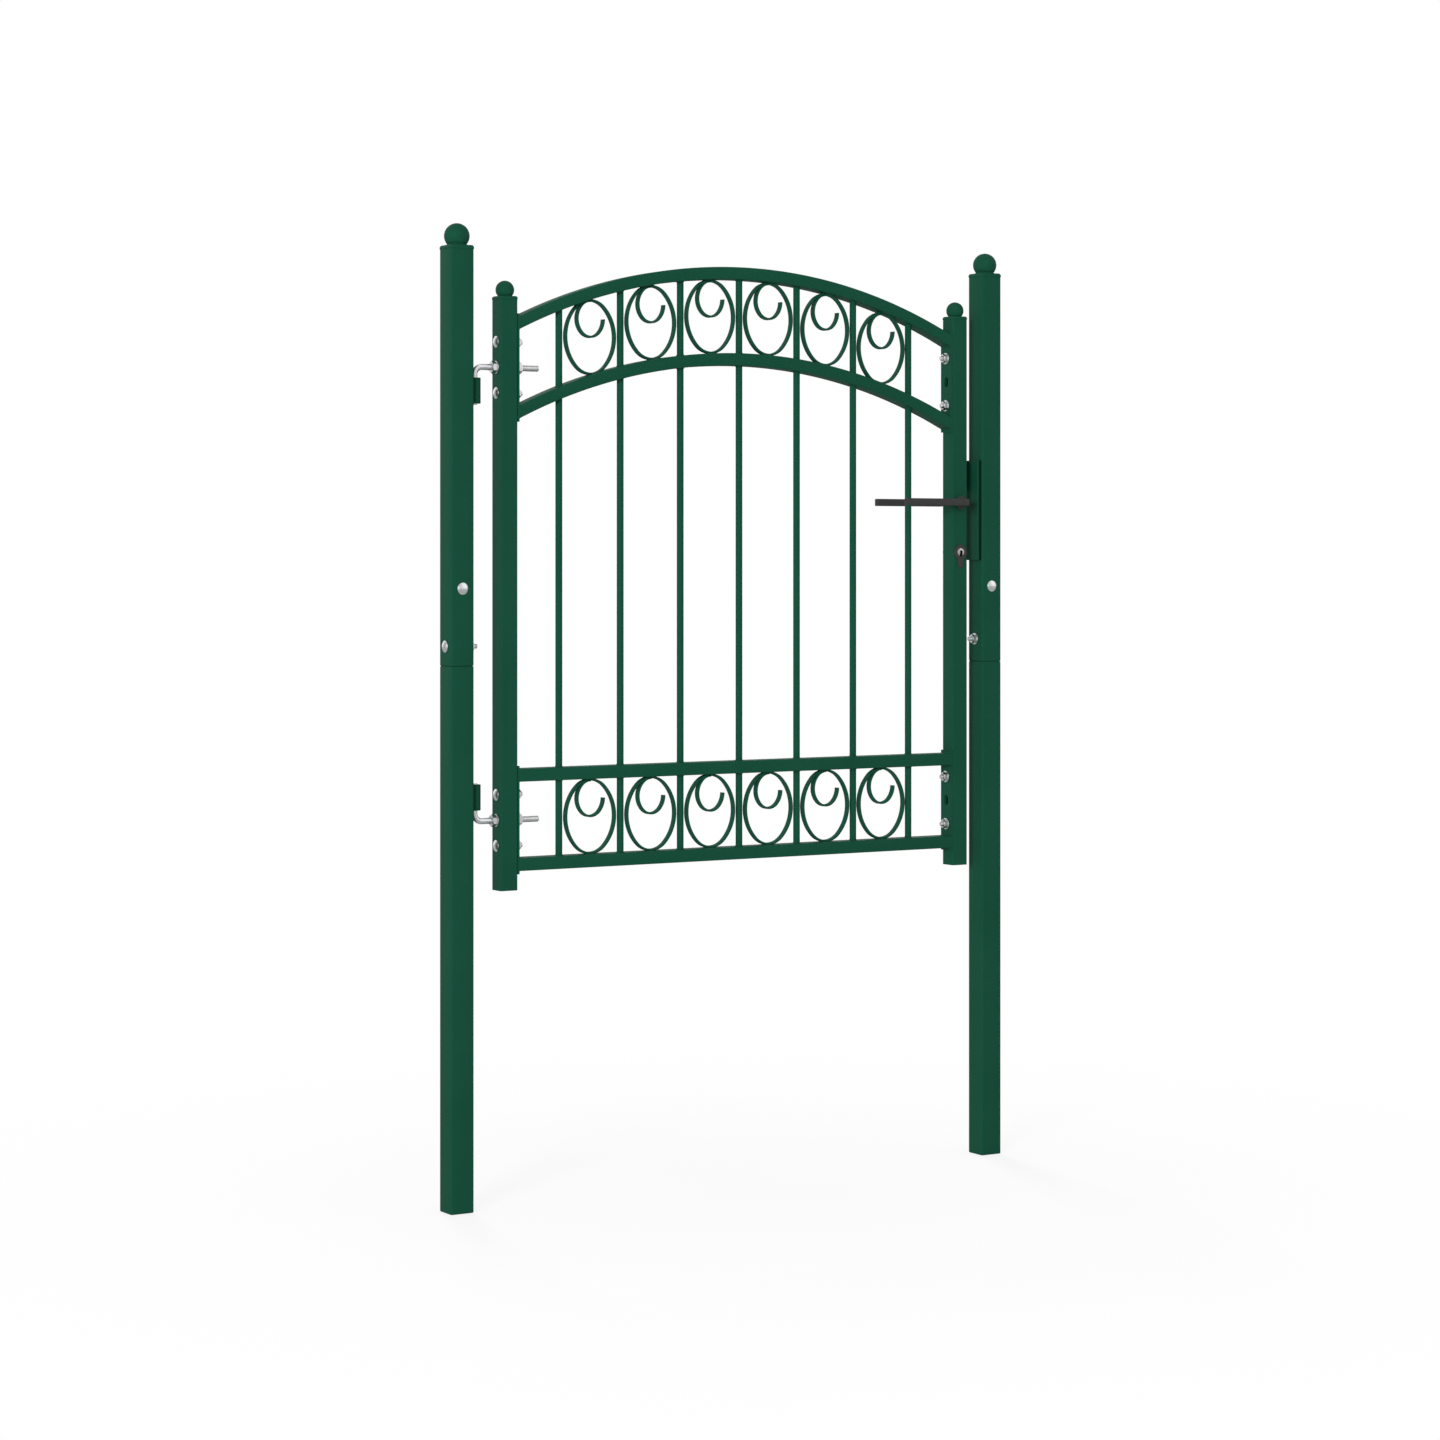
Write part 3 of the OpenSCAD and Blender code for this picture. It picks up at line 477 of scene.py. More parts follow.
def add_piece(name, shell, body, slot, replaced=(), sharp=38.0, look=None):
    """Makes a shell into an object that rides on a body, shaded smooth up to sharp degrees. Its
    material is its slot's, or that of a look of its own."""
    points = np.concatenate(shell.points)
    faces = [f for f in shell.faces if len(f)]
    corners = np.concatenate([f.ravel() for f in faces]).astype(np.int32)
    sizes = np.concatenate([np.full(len(f), f.shape[1]) for f in faces])
    starts = np.concatenate([[0], np.cumsum(sizes)[:-1]]).astype(np.int32)
    mesh = bpy.data.meshes.new(name)
    mesh.vertices.add(len(points))
    mesh.vertices.foreach_set("co", points.astype(np.float32).ravel())
    mesh.loops.add(len(corners))
    mesh.loops.foreach_set("vertex_index", corners)
    mesh.polygons.add(len(starts))
    mesh.polygons.foreach_set("loop_start", starts)
    mesh.update(calc_edges=True)
    mesh.validate()
    mesh.polygons.foreach_set("use_smooth", np.ones(len(mesh.polygons), bool))
    mesh.set_sharp_from_angle(angle=np.radians(sharp))
    mesh.materials.append(finish(look or slot))
    piece = bpy.data.objects.new(name, mesh)
    bpy.context.scene.collection.objects.link(piece)
    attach(piece, body)
    if replaced:
        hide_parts(*replaced)
    return piece


def bar_places(count):
    """The middle of each bar across the leaf, and the bars' radius, from the CAD."""
    low, high = box("lower_bars")
    radius = (high[1] - low[1]) / 2
    return np.linspace(low[0] + radius, high[0] - radius, count), radius


class Arch:
    """An arch of the leaf, read from its CAD node: height of its top face and underside at x."""

    def __init__(self, node):
        low, high = box(node)
        rail_low, rail_high = box("bottom_rail")
        self.height = rail_high[2] - rail_low[2]
        self.depth = high[1] - low[1]
        self.low, self.high = low[0], high[0]
        self.crown = high[2]
        self.middle = (low[0] + high[0]) / 2
        half = (high[0] - low[0]) / 2
        drop = high[2] - low[2] - self.height
        self.radius = (half * half + drop * drop) / (2 * drop)

    def top(self, x):
        """Height of the top face: a circle below the crown."""
        return self.crown - self.radius + np.sqrt(self.radius ** 2 - (x - self.middle) ** 2)

    def under(self, x):
        """Height of the underside."""
        return self.top(x) - self.height


# ---------------------------------------------------------------- finishes


class Shade:
    """A socket in a material's nodes. Arithmetic on it adds Math nodes."""

    def __init__(self, tree, socket=None):
        self.tree = tree
        self.socket = socket

    def node(self, kind, settings=None, inputs=None, output=0):
        """Adds a node of a kind, applies its settings, then its values and links."""
        made = self.tree.nodes.new(kind)
        for key, value in (settings or {}).items():
            if key == "stops":
                ramp = made.color_ramp
                while len(ramp.elements) < len(value):
                    ramp.elements.new(0.5)
                for element, (place, grey) in zip(ramp.elements, value):
                    element.position = place
                    element.color = (grey, grey, grey, 1.0)
            else:
                setattr(made, key, value)
        for key, value in (inputs or {}).items():
            target = made.inputs[key]
            if isinstance(value, Shade):
                self.tree.links.new(value.socket, target)
            elif target.type == "RGBA":
                target.default_value = (*value, 1.0)
            else:
                target.default_value = value
        return Shade(self.tree, made.outputs[output])

    def output(self, name):
        """Another output of this socket's node."""
        return Shade(self.tree, self.socket.node.outputs[name])

    def math(self, operation, *values):
        return self.node("ShaderNodeMath", {"operation": operation}, dict(enumerate(values)))

    def __add__(self, other):
        return self.math("ADD", self, other)

    __radd__ = __add__

    def __mul__(self, other):
        return self.math("MULTIPLY", self, other)

    __rmul__ = __mul__

    def __sub__(self, other):
        return self.math("SUBTRACT", self, other)

    def __rsub__(self, other):
        return self.math("SUBTRACT", other, self)

    def __truediv__(self, other):
        return self.math("DIVIDE", self, other)

    def __rtruediv__(self, other):
        return self.math("DIVIDE", other, self)

    def noise(self, place, scale, detail=2.0, roughness=0.5):
        """Noise from 0 to 1 at a place."""
        return self.node(
            "ShaderNodeTexNoise", {},
            {"Vector": place, "Scale": scale, "Detail": detail, "Roughness": roughness},
        )

    def blend(self, factor, low, high):
        """A colour between two colours."""
        made = self.node("ShaderNodeMix", {"data_type": "RGBA"}, {0: factor}, output=2)
        mix = made.socket.node
        mix.inputs[6].default_value = (*low, 1.0)
        mix.inputs[7].default_value = (*high, 1.0)
        return made

    def shades(self, factor, base, share):
        """A colour between a base and a share of that base."""
        return self.blend(factor, base, [share * part for part in base])

    def bump(self, strength, distance, height):
        """A normal that follows a height."""
        return self.node(
            "ShaderNodeBump", {}, {"Strength": strength, "Distance": distance, "Height": height}
        )

    def ramp(self, value, *stops):
        """A value put through a ramp of stops, each a place and a grey."""
        return self.node("ShaderNodeValToRGB", {"stops": stops}, {0: value})


def new_finish(name):
    """An empty material, its Shade and its object coordinates."""
    material = bpy.data.materials.new(name)
    material.use_nodes = True
    shade = Shade(material.node_tree)
    return material, shade, shade.node("ShaderNodeTexCoord", output=3)


def wire(material, shade, links, **constants):
    """Links what varies to the material's surface, sets its constants and gives it back."""
    surface = shade.tree.nodes["Principled BSDF"]
    for key, value in links.items():
        shade.tree.links.new(value.socket, surface.inputs[key])
    for key, value in constants.items():
        surface.inputs[key.replace("_", " ")].default_value = value
    return material


def coat_finish(settings):
    """Powder coat: a fine orange peel, slow drifts of tone and a soft sheen."""
    material, shade, place = new_finish("moss_green_powder_coat")
    peel = shade.noise(place, 620.0, 2.0, 0.45)
    grain = shade.noise(place, 2600.0, 1.0, 0.5)
    drift = shade.noise(place, 9.0, 3.0, 0.55)
    tone = shade.ramp(drift, (0.3, 0.0), (0.7, 1.0))
    tint = shade.blend(tone, settings.coat_deep, settings.coat)
    bump = shade.bump(0.10, 0.2 * MM, peel + grain * 0.2)
    return wire(
        material, shade,
        {"Base Color": tint, "Roughness": 0.50 + drift * 0.08 + grain * 0.05, "Normal": bump},
        Specular_IOR_Level=0.06, Metallic=0.0,
    )


def zinc_finish(settings):
    """Zinc plate: bright metal with a faint spangle, dulled in small patches."""
    material, shade, place = new_finish("bright_zinc_plate")
    cloud = shade.noise(place, 160.0, 4.0, 0.6)
    fine = shade.noise(place, 1500.0, 2.0, 0.5)
    dull = shade.ramp(cloud, (0.35, 0.0), (0.68, 1.0))
    tint = shade.blend(dull, settings.zinc, settings.zinc_dull)
    bump = shade.bump(0.15, 0.1 * MM, fine)
    return wire(
        material, shade,
        {"Base Color": tint, "Roughness": 0.22 + cloud * 0.12 + fine * 0.05, "Normal": bump},
        Metallic=1.0,
    )


def black_finish(settings):
    """Matt black coat: a fine even texture with a dull sheen."""
    material, shade, place = new_finish("matt_black_coat")
    fine = shade.noise(place, 1800.0, 2.0, 0.6)
    slow = shade.noise(place, 40.0, 2.0, 0.5)
    tint = shade.shades(slow, settings.black, 1.15)
    bump = shade.bump(0.25, 0.12 * MM, fine)
    return wire(
        material, shade,
        {"Base Color": tint, "Roughness": 0.46 + slow * 0.08, "Normal": bump},
        Specular_IOR_Level=0.15,
    )


def plug_finish(settings):
    """Nickel plate of the key plug, with fine marks where it is darker and duller."""
    material, shade, place = new_finish("nickel_plug")
    marks = shade.noise(place, 900.0, 2.0, 0.6)
    tint = shade.shades(marks, settings.plug, 0.85)
    return wire(
        material, shade,
        {"Base Color": tint, "Roughness": 0.22 + marks * 0.12}, Metallic=1.0,
    )


def keyway_shade_finish(settings):
    """Painted shade inside the keyway: black, with a faint lighter speckle."""
    material, shade, place = new_finish("keyway_painted_shade")
    speckle = shade.noise(place, 1200.0, 2.0, 0.5)
    tint = shade.shades(speckle, settings.keyway_shade, 2.0)
    return wire(
        material, shade, {"Base Color": tint, "Roughness": 0.8 + speckle * 0.1},
        Specular_IOR_Level=0.0,
    )


def gap_shade_finish(settings):
    """Painted shadow on the packing: a green-black that stands in for the shadowed gap at the
    strike plate's front edge, dull, with a soft mottle.
    """
    material, shade, place = new_finish("packing_painted_shade")
    mottle = shade.noise(place, 700.0, 3.0, 0.6)
    tint = shade.shades(mottle, settings.gap_shade, 1.4)
    bump = shade.bump(0.3, 0.2 * MM, mottle)
    return wire(
        material, shade,
        {"Base Color": tint, "Roughness": 0.7 + mottle * 0.15, "Normal": bump},
        Specular_IOR_Level=0.02,
    )


FINISHES = {
    "green": coat_finish,
    "zinc": zinc_finish,
    "black": black_finish,
    "plug": plug_finish,
    "keyway_shade": keyway_shade_finish,
    "gap_shade": gap_shade_finish,
}
# the strike plate's packing takes the painted shadow of its gap instead of its slot's finish
OWN_FINISHES = {"strike_packing": "gap_shade"}
made_finishes = {}


def finish(slot):
    """The material of a slot, made when it is first asked for."""
    if slot not in made_finishes:
        made_finishes[slot] = FINISHES[slot](bpy.context.scene.gate_finish)
    return made_finishes[slot]


# ---------------------------------------------------------------- operators


class GATE_OT_posts(Operator):
    """Round off the post sections where they meet and at their feet"""

    bl_idname = "gate.posts"
    bl_label = "Posts"

    def execute(self, context):
        tubes = context.scene.gate_tubes
        for node in (
            "hinge_post_lower", "hinge_post_upper", "latch_post_lower", "latch_post_upper"
        ):
            low, high = box(node)
            middle = (low + high) / 2
            middle[2] = low[2]
            under_cap = tubes.end_round if "upper" in node else 0
            shell = Shell().add(square_bar(
                middle, Z, X, Y, high[2] - low[2] + under_cap, high[0] - low[0],
                high[1] - low[1], tubes.post_corner, tubes.end_round,
            ))
            add_piece(node + "_tube", shell, "posts", "green", (node,))
        return {"FINISHED"}


def cap_shell(shell, tubes, x, z, width, corner, thick, ball, top):
    """A cap plate with a rounded top edge and, on a neck with a groove above it, its ball."""
    edge = tubes.cap_edge
    q = np.linspace(0, np.pi / 2, 6)
    drop = tubes.cap_foot
    heights = np.concatenate([[0, drop], thick - edge + edge * np.sin(q)])
    inset = np.concatenate([[drop, 0], edge * (1 - np.cos(q))])
    outlines = np.array([
        rounded_box(width - 2 * d, width - 2 * d, max(corner - d, 0.6 * MM)) for d in inset
    ])
    base = np.array([x, 0, z])
    shell.add(sweep(base + heights[:, None] * Z, X, Y, outlines))
    radius = ball / 2
    centre = top - radius - (z + thick)
    neck = tubes.ball_neck * radius
    crease = centre - np.sqrt(radius ** 2 - neck ** 2)
    start = np.arcsin((centre - crease - tubes.groove_top) / radius)
    tilt = np.linspace(-start, np.pi / 2 - 0.03, 30)
    rim = np.array([
        -tubes.neck_foot, 0, crease - tubes.groove_foot, crease, crease + tubes.groove / 11
    ])
    waist = neck - tubes.groove * np.array([0, 0, 0, 3 / 11, 1])
    heights = np.concatenate([rim, centre + radius * np.sin(tilt)])
    shell.add(lathe(heights, np.concatenate([waist, radius * np.cos(tilt)]),
                    base + thick * Z, Z, X, 64))


class GATE_OT_caps(Operator):
    """Make the caps and their ball finials"""

    bl_idname = "gate.caps"
    bl_label = "Caps and balls"

    def execute(self, context):
        tubes = context.scene.gate_tubes
        for post in ("hinge_post", "latch_post"):
            low, high = box(post + "_cap")
            shell = Shell()
            cap_shell(
                shell, tubes, (low[0] + high[0]) / 2, box(post + "_upper")[1][2],
                high[0] - low[0], tubes.cap_corner, tubes.post_cap, tubes.post_ball, high[2],
            )
            add_piece(post + "_ball_cap", shell, "posts", "green", (post + "_cap",))
        shell = Shell()
        low, high = box("upright_caps")
        for upright in ("hinge_upright", "latch_upright"):
            near, far = box(upright)
            cap_shell(
                shell, tubes, (near[0] + far[0]) / 2, far[2], high[1] - low[1],
                tubes.small_cap_corner, tubes.small_cap, tubes.small_ball, high[2],
            )
        add_piece("upright_ball_caps", shell, "leaf", "green", ("upright_caps",))
        return {"FINISHED"}


class GATE_OT_rails(Operator):
    """Soften the rails and arches and weld them to the end plates"""

    bl_idname = "gate.rails"
    bl_label = "Rails and arches"

    def execute(self, context):
        tubes = context.scene.gate_tubes
        infill = context.scene.gate_infill
        welds = Shell()
        rail_low, rail_high = box("bottom_rail")
        reach = (rail_high[1] - rail_low[1]) / 2 - infill.plate_bead_end
        y = np.linspace(-reach, reach, 40)

        def weld_end(x, z):
            welds.add(bead_rings(xyz(x, y, z), X, Z, infill.plate_bead))

        for node in ("bottom_rail", "middle_rail"):
            low, high = box(node)
            middle = (low + high) / 2
            middle[0] = low[0]
            shell = Shell().add(square_bar(
                middle, X, Y, Z, high[0] - low[0], high[1] - low[1], high[2] - low[2],
                tubes.rail_edge, tubes.cut_edge,
            ))
            add_piece(node + "_tube", shell, "leaf", "green", (node,))
            for x in (low[0], high[0]):
                for z in (low[2], high[2]):
                    weld_end(x, z)
        for node in ("top_arch", "lower_arch"):
            arch = Arch(node)
            x = np.linspace(arch.low, arch.high, tubes.arch_steps)
            path = xyz(x, 0, arch.top(x) - arch.height / 2)
            outline = rounded_box(arch.depth, arch.height, tubes.rail_edge)
            shell = Shell().add(sweep(path, Y, Z, outline[None]))
            add_piece(node + "_tube", shell, "leaf", "green", (node,))
            for x in (arch.low, arch.high):
                weld_end(x, arch.top(x))
                weld_end(x, arch.under(x))
        add_piece("rail_welds", welds, "leaf", "green")
        return {"FINISHED"}


def rail_face(node, side):
    """The height of a rail's underside, side 0, or its top face, side 1, whatever x is."""
    z = box(node)[side][2]
    return lambda x: np.full_like(x, z)


def bar_rings(x, radius, bottom, top):
    """A round bar whose two ends follow the heights bottom(x) and top(x) of what it meets."""
    ring = circle(radius, 32)
    px = x + ring[:, 0]
    share = np.array([0.0, 0.5, 1.0])[:, None]
    z = (1 - share) * bottom(px)[None] + share * top(px)[None]
    return xyz(px, ring[:, 1], z)


def bar_bead(x, radius, height, bead, turn):
    """A ring of weld round a bar's end: a circle of radius bead, with ripples, carried round
    the bar at the height of the surface it meets."""
    angle = turns(40)
    spoke = xyz(np.cos(angle), np.sin(angle), 0)
    size = bead * (1 + 0.13 * np.sin(9 * angle + turn))
    centre = radius * spoke
    centre[:, 0] += x
    centre[:, 2] = height(centre[:, 0])
    return sweep(centre, spoke, Z, size[:, None, None] * circle(1.0, 10)[None])


class GATE_OT_bars(Operator):
    """Fit the round bars between the rails and arches, with a bead of weld at each end"""

    bl_idname = "gate.bars"
    bl_label = "Bars"

    def execute(self, context):
        infill = context.scene.gate_infill
        places, radius = bar_places(infill.bars)
        top_arch, lower_arch = Arch("top_arch"), Arch("lower_arch")
        stretches = {
            "lower_bars": (rail_face("bottom_rail", 1), rail_face("middle_rail", 0)),
            "middle_bars": (rail_face("middle_rail", 1), lower_arch.under),
            "upper_bars": (lower_arch.top, top_arch.under),
        }
        beads = Shell()
        for node, (bottom, top) in stretches.items():
            shell = Shell()
            for i, x in enumerate(places):
                shell.add(bar_rings(x, radius, bottom, top))
                beads.add(bar_bead(x, radius, bottom, infill.bead, 1.7 * i), loop=True)
                beads.add(bar_bead(x, radius, top, infill.bead, 2.3 * i + 1), loop=True)
            add_piece(node + "_round", shell, "leaf", "green", (node,))
        add_piece("bar_welds", beads, "leaf", "green")
        return {"FINISHED"}


def oval_path(a, b, flat, start, stop, strip, steps):
    """Centre line of a strip bent to an oval of four arcs, from one normal angle to another,
    and its outward normals. The outer face is a wide and b high to each side; the ends have
    radius a - flat and the sides the radius that meets them smoothly."""
    end = a - flat
    side = b + (b - a) ** 2 / (2 * flat)
    turn = np.arctan2(b - end, side - a)
    q = np.linspace(start, stop, steps)
    normal = xyz(np.cos(q), 0, np.sin(q))
    on_side = np.abs(np.sin(q)) < np.sin(turn)
    radius = np.where(on_side, side, end)
    cx = np.where(on_side, np.sign(np.cos(q)) * (a - side), 0.0)
    cz = np.where(on_side, 0.0, np.sign(np.sin(q)) * (b - end))
    return xyz(cx, 0, cz) + (radius - strip / 2)[:, None] * normal, normal


class GATE_OT_scrolls(Operator):
    """Bend the scrolls from strip and tack them to the rails and arches"""

    bl_idname = "gate.scrolls"
    bl_label = "Scrolls"

    def execute(self, context):
        infill = context.scene.gate_infill
        places = bar_places(infill.bars)[0]
        middles = (places[1:] + places[:-1]) / 2
        pitch = places[1] - places[0]
        low, high = box("lower_scrolls")
        depth = high[1] - low[1]
        half = (high[0] - low[0] - pitch * (infill.bars - 2)) / 2
        top_arch, lower_arch = Arch("top_arch"), Arch("lower_arch")
        faces = {
            "upper_scrolls": (lower_arch.top, top_arch.under),
            "lower_scrolls": (rail_face("bottom_rail", 1), rail_face("middle_rail", 0)),
        }
        section = rounded_box(infill.strip, depth, infill.strip_edge, 4)
        tacks = Shell()
        for node in faces:
            below, above = (face(middles) for face in faces[node])
            tall = (above[0] - below[0]) / 2 + infill.scroll_bite
            oval, out = oval_path(half, tall, infill.scroll_flat, 0, 2 * np.pi, infill.strip, 145)
            a, b = infill.curl_width / 2, infill.curl_height / 2
            curl, curl_out = oval_path(
                a, b, infill.curl_flat, np.pi / 2, 2 * np.pi, infill.strip, 100
            )
            curl[:, 2] += tall - infill.curl_drop - b
            shell = Shell()
            for x, z0, z1 in zip(middles, below, above):
                centre = np.array([x, 0, (z0 + z1) / 2])
                shell.add(sweep(oval[:-1] + centre, out[:-1], Y, section[None]), loop=True)
                shell.add(sweep(curl + centre, curl_out, Y, section[None]))
            reach = depth / 2 - infill.tack
            span = np.linspace(-reach, reach, 16)
            round_end = half - infill.scroll_flat
            out = np.linspace(0, 0.9 * round_end, 200)
            rise = round_end - np.sqrt(round_end ** 2 - out ** 2) - infill.scroll_bite
            for face, way in ((faces[node][0], 1), (faces[node][1], -1)):
                for side in (-1, 1):
                    x = middles[:, None] + side * out
                    gap = rise + way * (face(middles)[:, None] - face(x))
                    reached = np.argmax(gap > 0.55 * infill.tack, axis=1)
                    for place in np.take_along_axis(x, reached[:, None], 1)[:, 0]:
                        path = xyz(place, span, face(place) + way * 0.3 * infill.tack)
                        tacks.add(bead_rings(path, X, Z, infill.tack, 0.05))
            add_piece(node + "_bent", shell, "leaf", "green", (node,))
        add_piece("scroll_tacks", tacks, "leaf", "green")
        return {"FINISHED"}


class GATE_OT_hinges(Operator):
    """Make the hinge bushes with their welds, and the threaded pins with their nuts"""

    bl_idname = "gate.hinges"
    bl_label = "Hinges"

    def execute(self, context):
        fix = context.scene.gate_fixings
        low, high = box("hinge_bushes")
        radius = (high[1] - low[1]) / 2
        x = high[0] - radius
        face = box("hinge_post_upper")[1][0]
        bore = fix.pin / 2 + fix.pin_play
        stations, radii = ring_section(bore, radius, 0, fix.bush, fix.bush_edge)
        bushes = Shell()
        starts = low[2], high[2] - fix.bush
        for z in starts:
            bushes.add(lathe(stations, radii, np.array([x, 0, z]), Z, X, 64), loop=True)
            run = np.linspace(fix.bush_bead_end, fix.bush - fix.bush_bead_end, 90)
            for side in (-1, 1):
                path = xyz(face + fix.bush_bead_rise, side * fix.bush_bead_side, z + run)
                bushes.add(bead_rings(path, X, Y, fix.bush_bead))
        add_piece("hinge_bush_rings", bushes, "posts", "green", ("hinge_bushes",))

        pins, nuts, washers = Shell(), Shell(), Shell()
        plate_end = box("bottom_rail")[0][0]
        outside = box("hinge_upright")[0][0] - fix.washer
        disc = ring_section(
            fix.pin / 2 + fix.washer_play, fix.pin_washer / 2, 0, fix.washer, fix.washer_edge
        )
        tips = starts[0] + fix.bush + fix.pin_past, starts[1] - fix.pin_past
        for plates, way, tip in zip(("lower_end_plates", "upper_end_plates"), (1, -1), tips):
            plate_low, plate_high = box(plates)
            z = (plate_low[2] + plate_high[2]) / 2
            self.pin(pins, fix, x, z, way, abs(tip - z), box("hinge_pins")[1][0],
                     outside - fix.pin_nut_height - fix.pin_thread)
            middle = np.array([0, 0, z])
            for start in (outside - fix.pin_nut_height, plate_end + fix.washer):
                nuts.add(nut_rings(
                    fix.pin_nut, fix.pin_nut_height, fix.pin / 2 - fix.nut_bite,
                    middle + start * X, X,
                ), loop=True)
            for start in (outside, plate_end):
                washers.add(lathe(*disc, middle + start * X, X, Z), loop=True)
        add_piece("hinge_pins_threaded", pins, "leaf", "zinc", ("hinge_pins",))
        add_piece("pin_hex_nuts", nuts, "leaf", "zinc", ("pin_nuts",), 30)
        add_piece("pin_flat_washers", washers, "leaf", "zinc", ("pin_washers",))
        return {"FINISHED"}

    def pin(self, shell, fix, x, z, way, leg, end, thread):
        """An L-shaped pin: a leg with a chamfered foot, a quarter bend and a rod whose thread
        runs from thread to its end."""
        bend = fix.pin_bend
        radius = fix.pin / 2
        foot = np.array([0, 0.3, 1.0]) * MM
        narrower = np.array([1.1, 0.6, 0]) * MM
        q = np.linspace(0, np.pi / 2, 16)
        cut = thread_stations(thread, end, fix.pin_pitch)
        xs = np.concatenate([np.full(3, x), x + bend * (1 - np.cos(q)), cut])
        zs = np.concatenate([leg - foot, bend * (1 - np.sin(q)), 0 * cut])
        up = np.concatenate([np.zeros(3), q, np.full_like(cut, np.pi / 2)])
        across = xyz(-np.cos(up), 0, -way * np.sin(up))
        radii = np.concatenate([radius - narrower, np.full_like(q, radius)])
        radii = np.repeat(radii[:, None], 32, axis=1)
        radii = np.vstack([radii, thread_radius(cut, fix.pin, fix.pin_pitch, thread, end)])
        centres = xyz(xs, 0, z + way * zs)
        shell.add(sweep(centres, across, Y, radii[..., None] * circle(1.0, 32)[None]))


class Bolts:
    """Bolts of one kind with their washers and nuts, gathered into three shells. Each bolt ends
    reach beyond what it holds, and its thread runs thread further in."""

    def __init__(self, fix, head, reach, thread):
        self.fix, self.head, self.reach, self.thread = fix, head, reach, thread
        self.ring = ring_section(
            fix.bolt / 2 + fix.washer_play, fix.washer_size / 2, 0, fix.washer, fix.washer_edge
        )
        self.bolts, self.nuts, self.washers = Shell(), Shell(), Shell()

    def place(self, base, axis, through):
        """Puts a bolt's head against base, and its washer and nut through further on."""
        fix, reach = self.fix, self.reach
        self.bolts.add(dome_bolt(
            fix, self.head, base, axis, through + reach, reach + self.thread
        ))
        self.washers.add(lathe(*self.ring, base + through * axis, axis, Z), loop=True)
        self.nuts.add(nut_rings(
            fix.nut, fix.nut_height, fix.bolt / 2 - fix.nut_bite,
            base + (through + fix.washer) * axis, axis,
        ), loop=True)

    def make(self, group, body):
        """Adds the three pieces, which take the place of the group's CAD nodes."""
        add_piece(group + "_dome_bolts", self.bolts, body, "zinc", (group + "_bolts",))
        add_piece(group + "_hex_nuts", self.nuts, body, "zinc", (group + "_nuts",), 30)
        add_piece(group + "_flat_washers", self.washers, body, "zinc", (group + "_washers",))


class GATE_OT_bolts(Operator):
    """Put the domed bolts, nuts and washers in the post joints and the end plates"""

    bl_idname = "gate.bolts"
    bl_label = "Bolts"

    def execute(self, context):
        fix = context.scene.gate_fixings
        low, high = box("post_bolts")
        front_z, side_z = high[2] - fix.post_head / 2, low[2] + fix.post_head / 2
        reach = high[1] - box("hinge_post_upper")[1][1]
        bolts = Bolts(fix, fix.post_head, reach, fix.post_thread)
        for post, way in (("hinge_post_upper", 1), ("latch_post_upper", -1)):
            near, far = box(post)
            middle = (near + far) / 2
            start = near[0] if way > 0 else far[0]
            width = far[0] - near[0]
            bolts.place(np.array([middle[0], near[1], front_z]), Y, width)
            bolts.place(np.array([start, middle[1], side_z]), way * X, width)
        bolts.make("post", "posts")

        left, right, inner = box("hinge_upright"), box("latch_upright"), box("bottom_rail")
        upper = box("upper_end_plates")
        top = box("frame_bolts")[1][2] - fix.plate_head / 2
        half = top - (upper[0][2] + upper[1][2]) / 2
        bolts = Bolts(fix, fix.plate_head, fix.plate_reach, fix.plate_thread)
        for plates in ("lower_end_plates", "upper_end_plates"):
            near, far = box(plates)
            for z in ((near[2] + far[2]) / 2 - half, (near[2] + far[2]) / 2 + half):
                bolts.place(np.array([left[0][0], 0, z]), X, inner[0][0] - left[0][0])
                bolts.place(np.array([right[1][0], 0, z]), -X, right[1][0] - inner[1][0])
        bolts.make("frame", "leaf")
        return {"FINISHED"}


